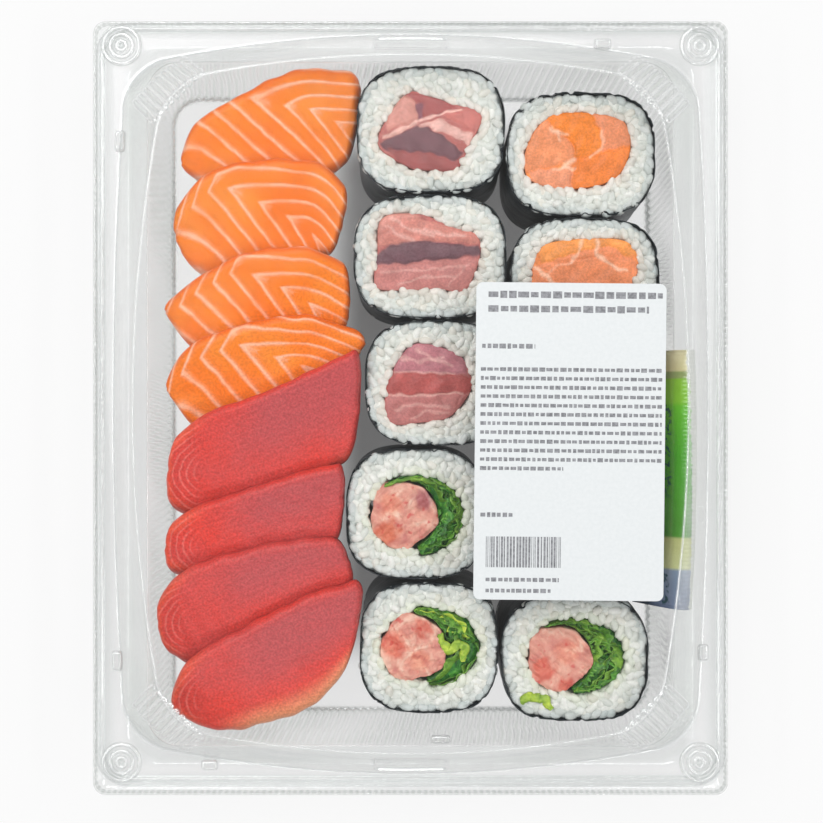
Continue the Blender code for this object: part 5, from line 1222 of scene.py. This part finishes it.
def buildSlice(name, lie, seed):
    long, wide = sliceShape["steps"]
    upper, lower = slices[name][:2]
    u = 0.5 - 0.5 * np.cos(np.linspace(0, math.pi, long))
    u = 0.6 * u + 0.4 * np.linspace(0, 1, long)
    v = 0.5 - 0.5 * np.cos(np.linspace(0, math.pi, wide))
    v = 0.6 * v + 0.4 * np.linspace(0, 1, wide)
    # the ends bulge in their middle and round off at the slice's corners
    square = np.abs(2 * v - 1)
    ragged = 0.012 * unevenness(v * 20, 0 * v, 6, seed) + 0.006 * unevenness(v * 20, 0 * v, 2.2, seed + 1)
    first = 0.105 * (1 - np.sqrt(1 - square ** 3.2)) - 0.022 * (1 - square ** 2) + ragged * (1 - square)
    last = 0.075 * (1 - np.sqrt(1 - square ** 3.2)) - 0.012 * (1 - square ** 2) - ragged[::-1] * (1 - square)
    reachU = first[None] + (1 - first - last)[None] * u[:, None]
    top = smoothCurve(upper, reachU.ravel() * 4).reshape(long, wide, 2)
    low = smoothCurve(lower, reachU.ravel() * 4).reshape(long, wide, 2)
    spot = top + (low - top) * v[None, :, None]
    x, y = spot[..., 0], spot[..., 1]
    y = y + 0.35 * unevenness(x, 0 * x, 11, seed + 2) * np.abs(2 * v - 1)[None] ** 3
    width = np.linalg.norm(low - top, axis=-1)
    length = np.hypot(np.ptp(x), 0)
    q = v[None] * width
    p = x - upper[0][0]
    fromEdge = np.minimum(np.minimum(q, width - q) * 0.97, np.minimum(u, 1 - u)[:, None] * length * (1 - first - last)[None])
    bulge = np.sqrt(np.clip(1 - (1 - np.clip(fromEdge / sliceShape["round"], 0, 1)) ** 2, 0, 1))
    thick = sliceShape["edge"] + (sliceShape["thick"] - sliceShape["edge"]) * bulge
    floor = lie.bottom(x, y)
    relief = 0.16 * unevenness(x, y, 9, seed) * bulge
    rim = 1 - softStep(fromEdge, 0.3, 3.2)
    if name.startswith("salmon"):
        level, spacing, drift, squeeze, place, step, bend, middleSlant, lowerSlant = slices[name][2]
        across = softStep(p, 22, 44)
        arm = 2 + (q - level - drift * across) / (spacing - squeeze * across)
        below = q - bend
        leg = np.minimum((p - place + middleSlant * below) / step, (p - place - lowerSlant * below) / step)
        if middleSlant == 0:
            leg = (p - place - lowerSlant * below) / step
        field = np.minimum(arm, leg) + 8
        apex = np.exp(-((arm - leg) / 0.2) ** 2)
        fields = {"muscleLine": field, "rim": rim, "apex": apex}
        relief -= 0.1 * np.exp(-((field % 1 - 0.1) / 0.12) ** 2) * bulge
        material, slotName = salmon, "salmon"
    else:
        centreP, centreQ = 13.0, width * 0.52
        ahead = np.maximum(centreP - p, 0)
        field = np.hypot(ahead * 0.9, np.abs(q - centreQ)) / 2.0 + 6
        arcs = softStep(centreP - p, 2, 8) * softStep(fromEdge, 0.5, 1.5)
        # painted sheen over the upper half of each slice, away from its left end
        paintedSheen = softStep(p, 12, 34) * (1 - softStep(q / width, 0.35, 0.85)) * softStep(q, 0, 4)
        fat = (softStep(q / width, 0.72, 0.99) * softStep(p, 12, 30) if name == "tuna_4" else
               0.25 * softStep(q / width, 0.86, 0.99) * softStep(p, 24, 34))
        # painted glow near the edges of the left end, light through thin flesh
        bright = softStep(-p, -16, -2) * (1 - softStep(fromEdge, 1.5, 6))
        # painted shade along the lower edge, where the next slice lies over it, and at the right end, tucked under the
        # rolls
        seam = (0.0 if name == "tuna_4" else 0.7) * softStep(q / width, 0.78, 1.0)
        paintedShade = np.maximum(seam, 0.5 * softStep(u, 0.93, 1.0)[:, None])
        fields = {"muscleLine": field, "rim": bright, "fatRim": fat, "paintedSheen": paintedSheen, "arcs": arcs, "paintedShade": paintedShade}
        material, slotName = tuna, "tuna"
    upperSide = np.stack([x, y, floor + thick + relief], -1)
    lowerSide = np.stack([x, y, floor], -1)
    points, faces = closedLoft(np.concatenate([upperSide, lowerSide[:, ::-1]], 1))
    fields = {key: np.concatenate([value, value[:, ::-1]], 1).ravel() for key, value in fields.items()}
    part = name.split("_")
    newPiece(part[0] + "Slice" + part[1], points * mm, faces, material, ("slice_" + name,), fields)


def buildFinger(name, lie, seed):
    # pressed rice: a rounded bar whose top follows the fish, covered in grains
    draw = np.random.default_rng(seed)
    halfX, halfY = sliceShape["finger"]
    across = np.array([-lie.along[1], lie.along[0]])
    middle = lie.centre + across * sliceShape["fingerShift"]

    def rounded(value):
        return np.sign(value) * np.abs(value) ** 0.55

    def surface(ball, scale):
        # a point of the unit ball to the bar's surface
        flat = np.hypot(ball[..., 0], ball[..., 1])
        out = rounded(flat) / np.maximum(flat, 1e-6)
        sx, sy = rounded(ball[..., 0]) * out * halfX * scale, rounded(ball[..., 1]) * out * halfY * scale
        x = middle[0] + lie.along[0] * sx + across[0] * sy
        y = middle[1] + lie.along[1] * sx + across[1] * sy
        ceiling = lie.bottom(x, y) - 1.0
        return np.stack([x, y, 1.0 + (ceiling - 1.0) * (rounded(ball[..., 2]) * scale + 1) / 2], -1)

    theta = np.linspace(0, turn, 40, endpoint=False)
    phi = np.linspace(-86, 86, 15)
    ball = np.stack([np.cos(np.radians(phi))[:, None] * np.cos(theta), np.cos(np.radians(phi))[:, None] * np.sin(theta),
                     np.sin(np.radians(phi))[:, None] + 0 * theta], -1)
    points, faces = closedLoft(surface(ball, 0.93))
    tones = [np.tile((*linear("D4D8D2"), 1), (len(points), 1))]
    tries = draw.normal(size=(2600, 3))
    tries /= np.linalg.norm(tries, axis=1)[:, None]
    spots = surface(tries, 0.94)
    kept = []
    for index, spot in enumerate(spots):
        if all(np.sum((spots[other] - spot) ** 2) > 2.9 ** 2 for other in kept):
            kept.append(index)
    centres, ball = spots[kept], tries[kept]
    nearby = surface(ball * 0.999 + 1e-4, 1.0)
    normals = nearby - surface(ball, 0.8)
    normals /= np.linalg.norm(normals, axis=1)[:, None]
    axes = np.cross(normals, draw.normal(size=(len(kept), 3)))
    size = np.column_stack([draw.uniform(2.4, 2.85, len(kept)), draw.uniform(1.2, 1.4, len(kept)),
                            draw.uniform(1.0, 1.2, len(kept))])
    grains, bodies, count = grainBodies(centres, axes, normals, size)
    grains[:, 2] = np.maximum(grains[:, 2], 0.7)
    faces += [[index + len(points) for index in body] for body in bodies]
    points = np.vstack([points, grains])
    tone = riceTones[draw.integers(0, len(riceTones), len(kept))]
    tones.append(np.repeat(np.column_stack([tone, np.ones(len(kept))]), count, 0))
    part = name.split("_")
    newPiece(part[0] + "Rice" + part[1], points * mm, faces, rice, ("finger_" + name,),
             {"grainTint": np.vstack(tones)})


before = None
for number, name in enumerate(slices):
    lie = Lie(slices[name][0], slices[name][1], before)
    buildSlice(name, lie, 70 + number)
    buildFinger(name, lie, 90 + number)
    before = lie
print("nigiri made")

# Studio: white paper underneath, an even white sky and soft boxes overhead
floorMesh = bpy.data.meshes.new("studioFloor")
floorMesh.from_pydata([(-2, -2, -0.0004), (2, -2, -0.0004), (2, 2, -0.0004), (-2, 2, -0.0004)], [], [(0, 1, 2, 3)])
floorMesh.materials.append(studio)
floor = bpy.data.objects.new("studioFloor", floorMesh)
bpy.context.scene.collection.objects.link(floor)

sky = bpy.data.worlds.new("studioSky")
sky.use_nodes = True
sky.node_tree.nodes["Background"].inputs["Color"].default_value = (1.0, 1.0, 1.0, 1.0)
sky.node_tree.nodes["Background"].inputs["Strength"].default_value = 0.44
bpy.context.scene.world = sky
# name, place and size in metres, power in watts, aimed at the pack
lamps = (("softBoxTop", (-0.35, 0.5, 1.1), 0.9, 0.9, 6.4), ("softBoxSide", (0.9, -0.3, 0.8), 0.5, 0.5, 1.5),
         ("stripLeft", (-0.62, 0.0, 0.72), 0.7, 0.06, 1.7), ("stripRight", (0.62, 0.05, 0.72), 0.7, 0.06, 1.7),
         ("stripFar", (0.0, 0.66, 0.72), 0.6, 0.06, 1.4), ("stripNear", (0.05, -0.66, 0.72), 0.6, 0.06, 1.4))
for lampName, place, size, depthwise, power in lamps:
    lampData = bpy.data.lights.new(lampName, "AREA")
    lampData.shape, lampData.size, lampData.size_y, lampData.energy = "RECTANGLE", size, depthwise, power
    lamp = bpy.data.objects.new(lampName, lampData)
    lamp.location = place
    away = np.array(place)
    level = math.hypot(away[0], away[1])
    lamp.rotation_euler = (math.atan2(level, away[2]), 0.0, math.atan2(away[0], -away[1]))
    bpy.context.scene.collection.objects.link(lamp)
print("studio made")
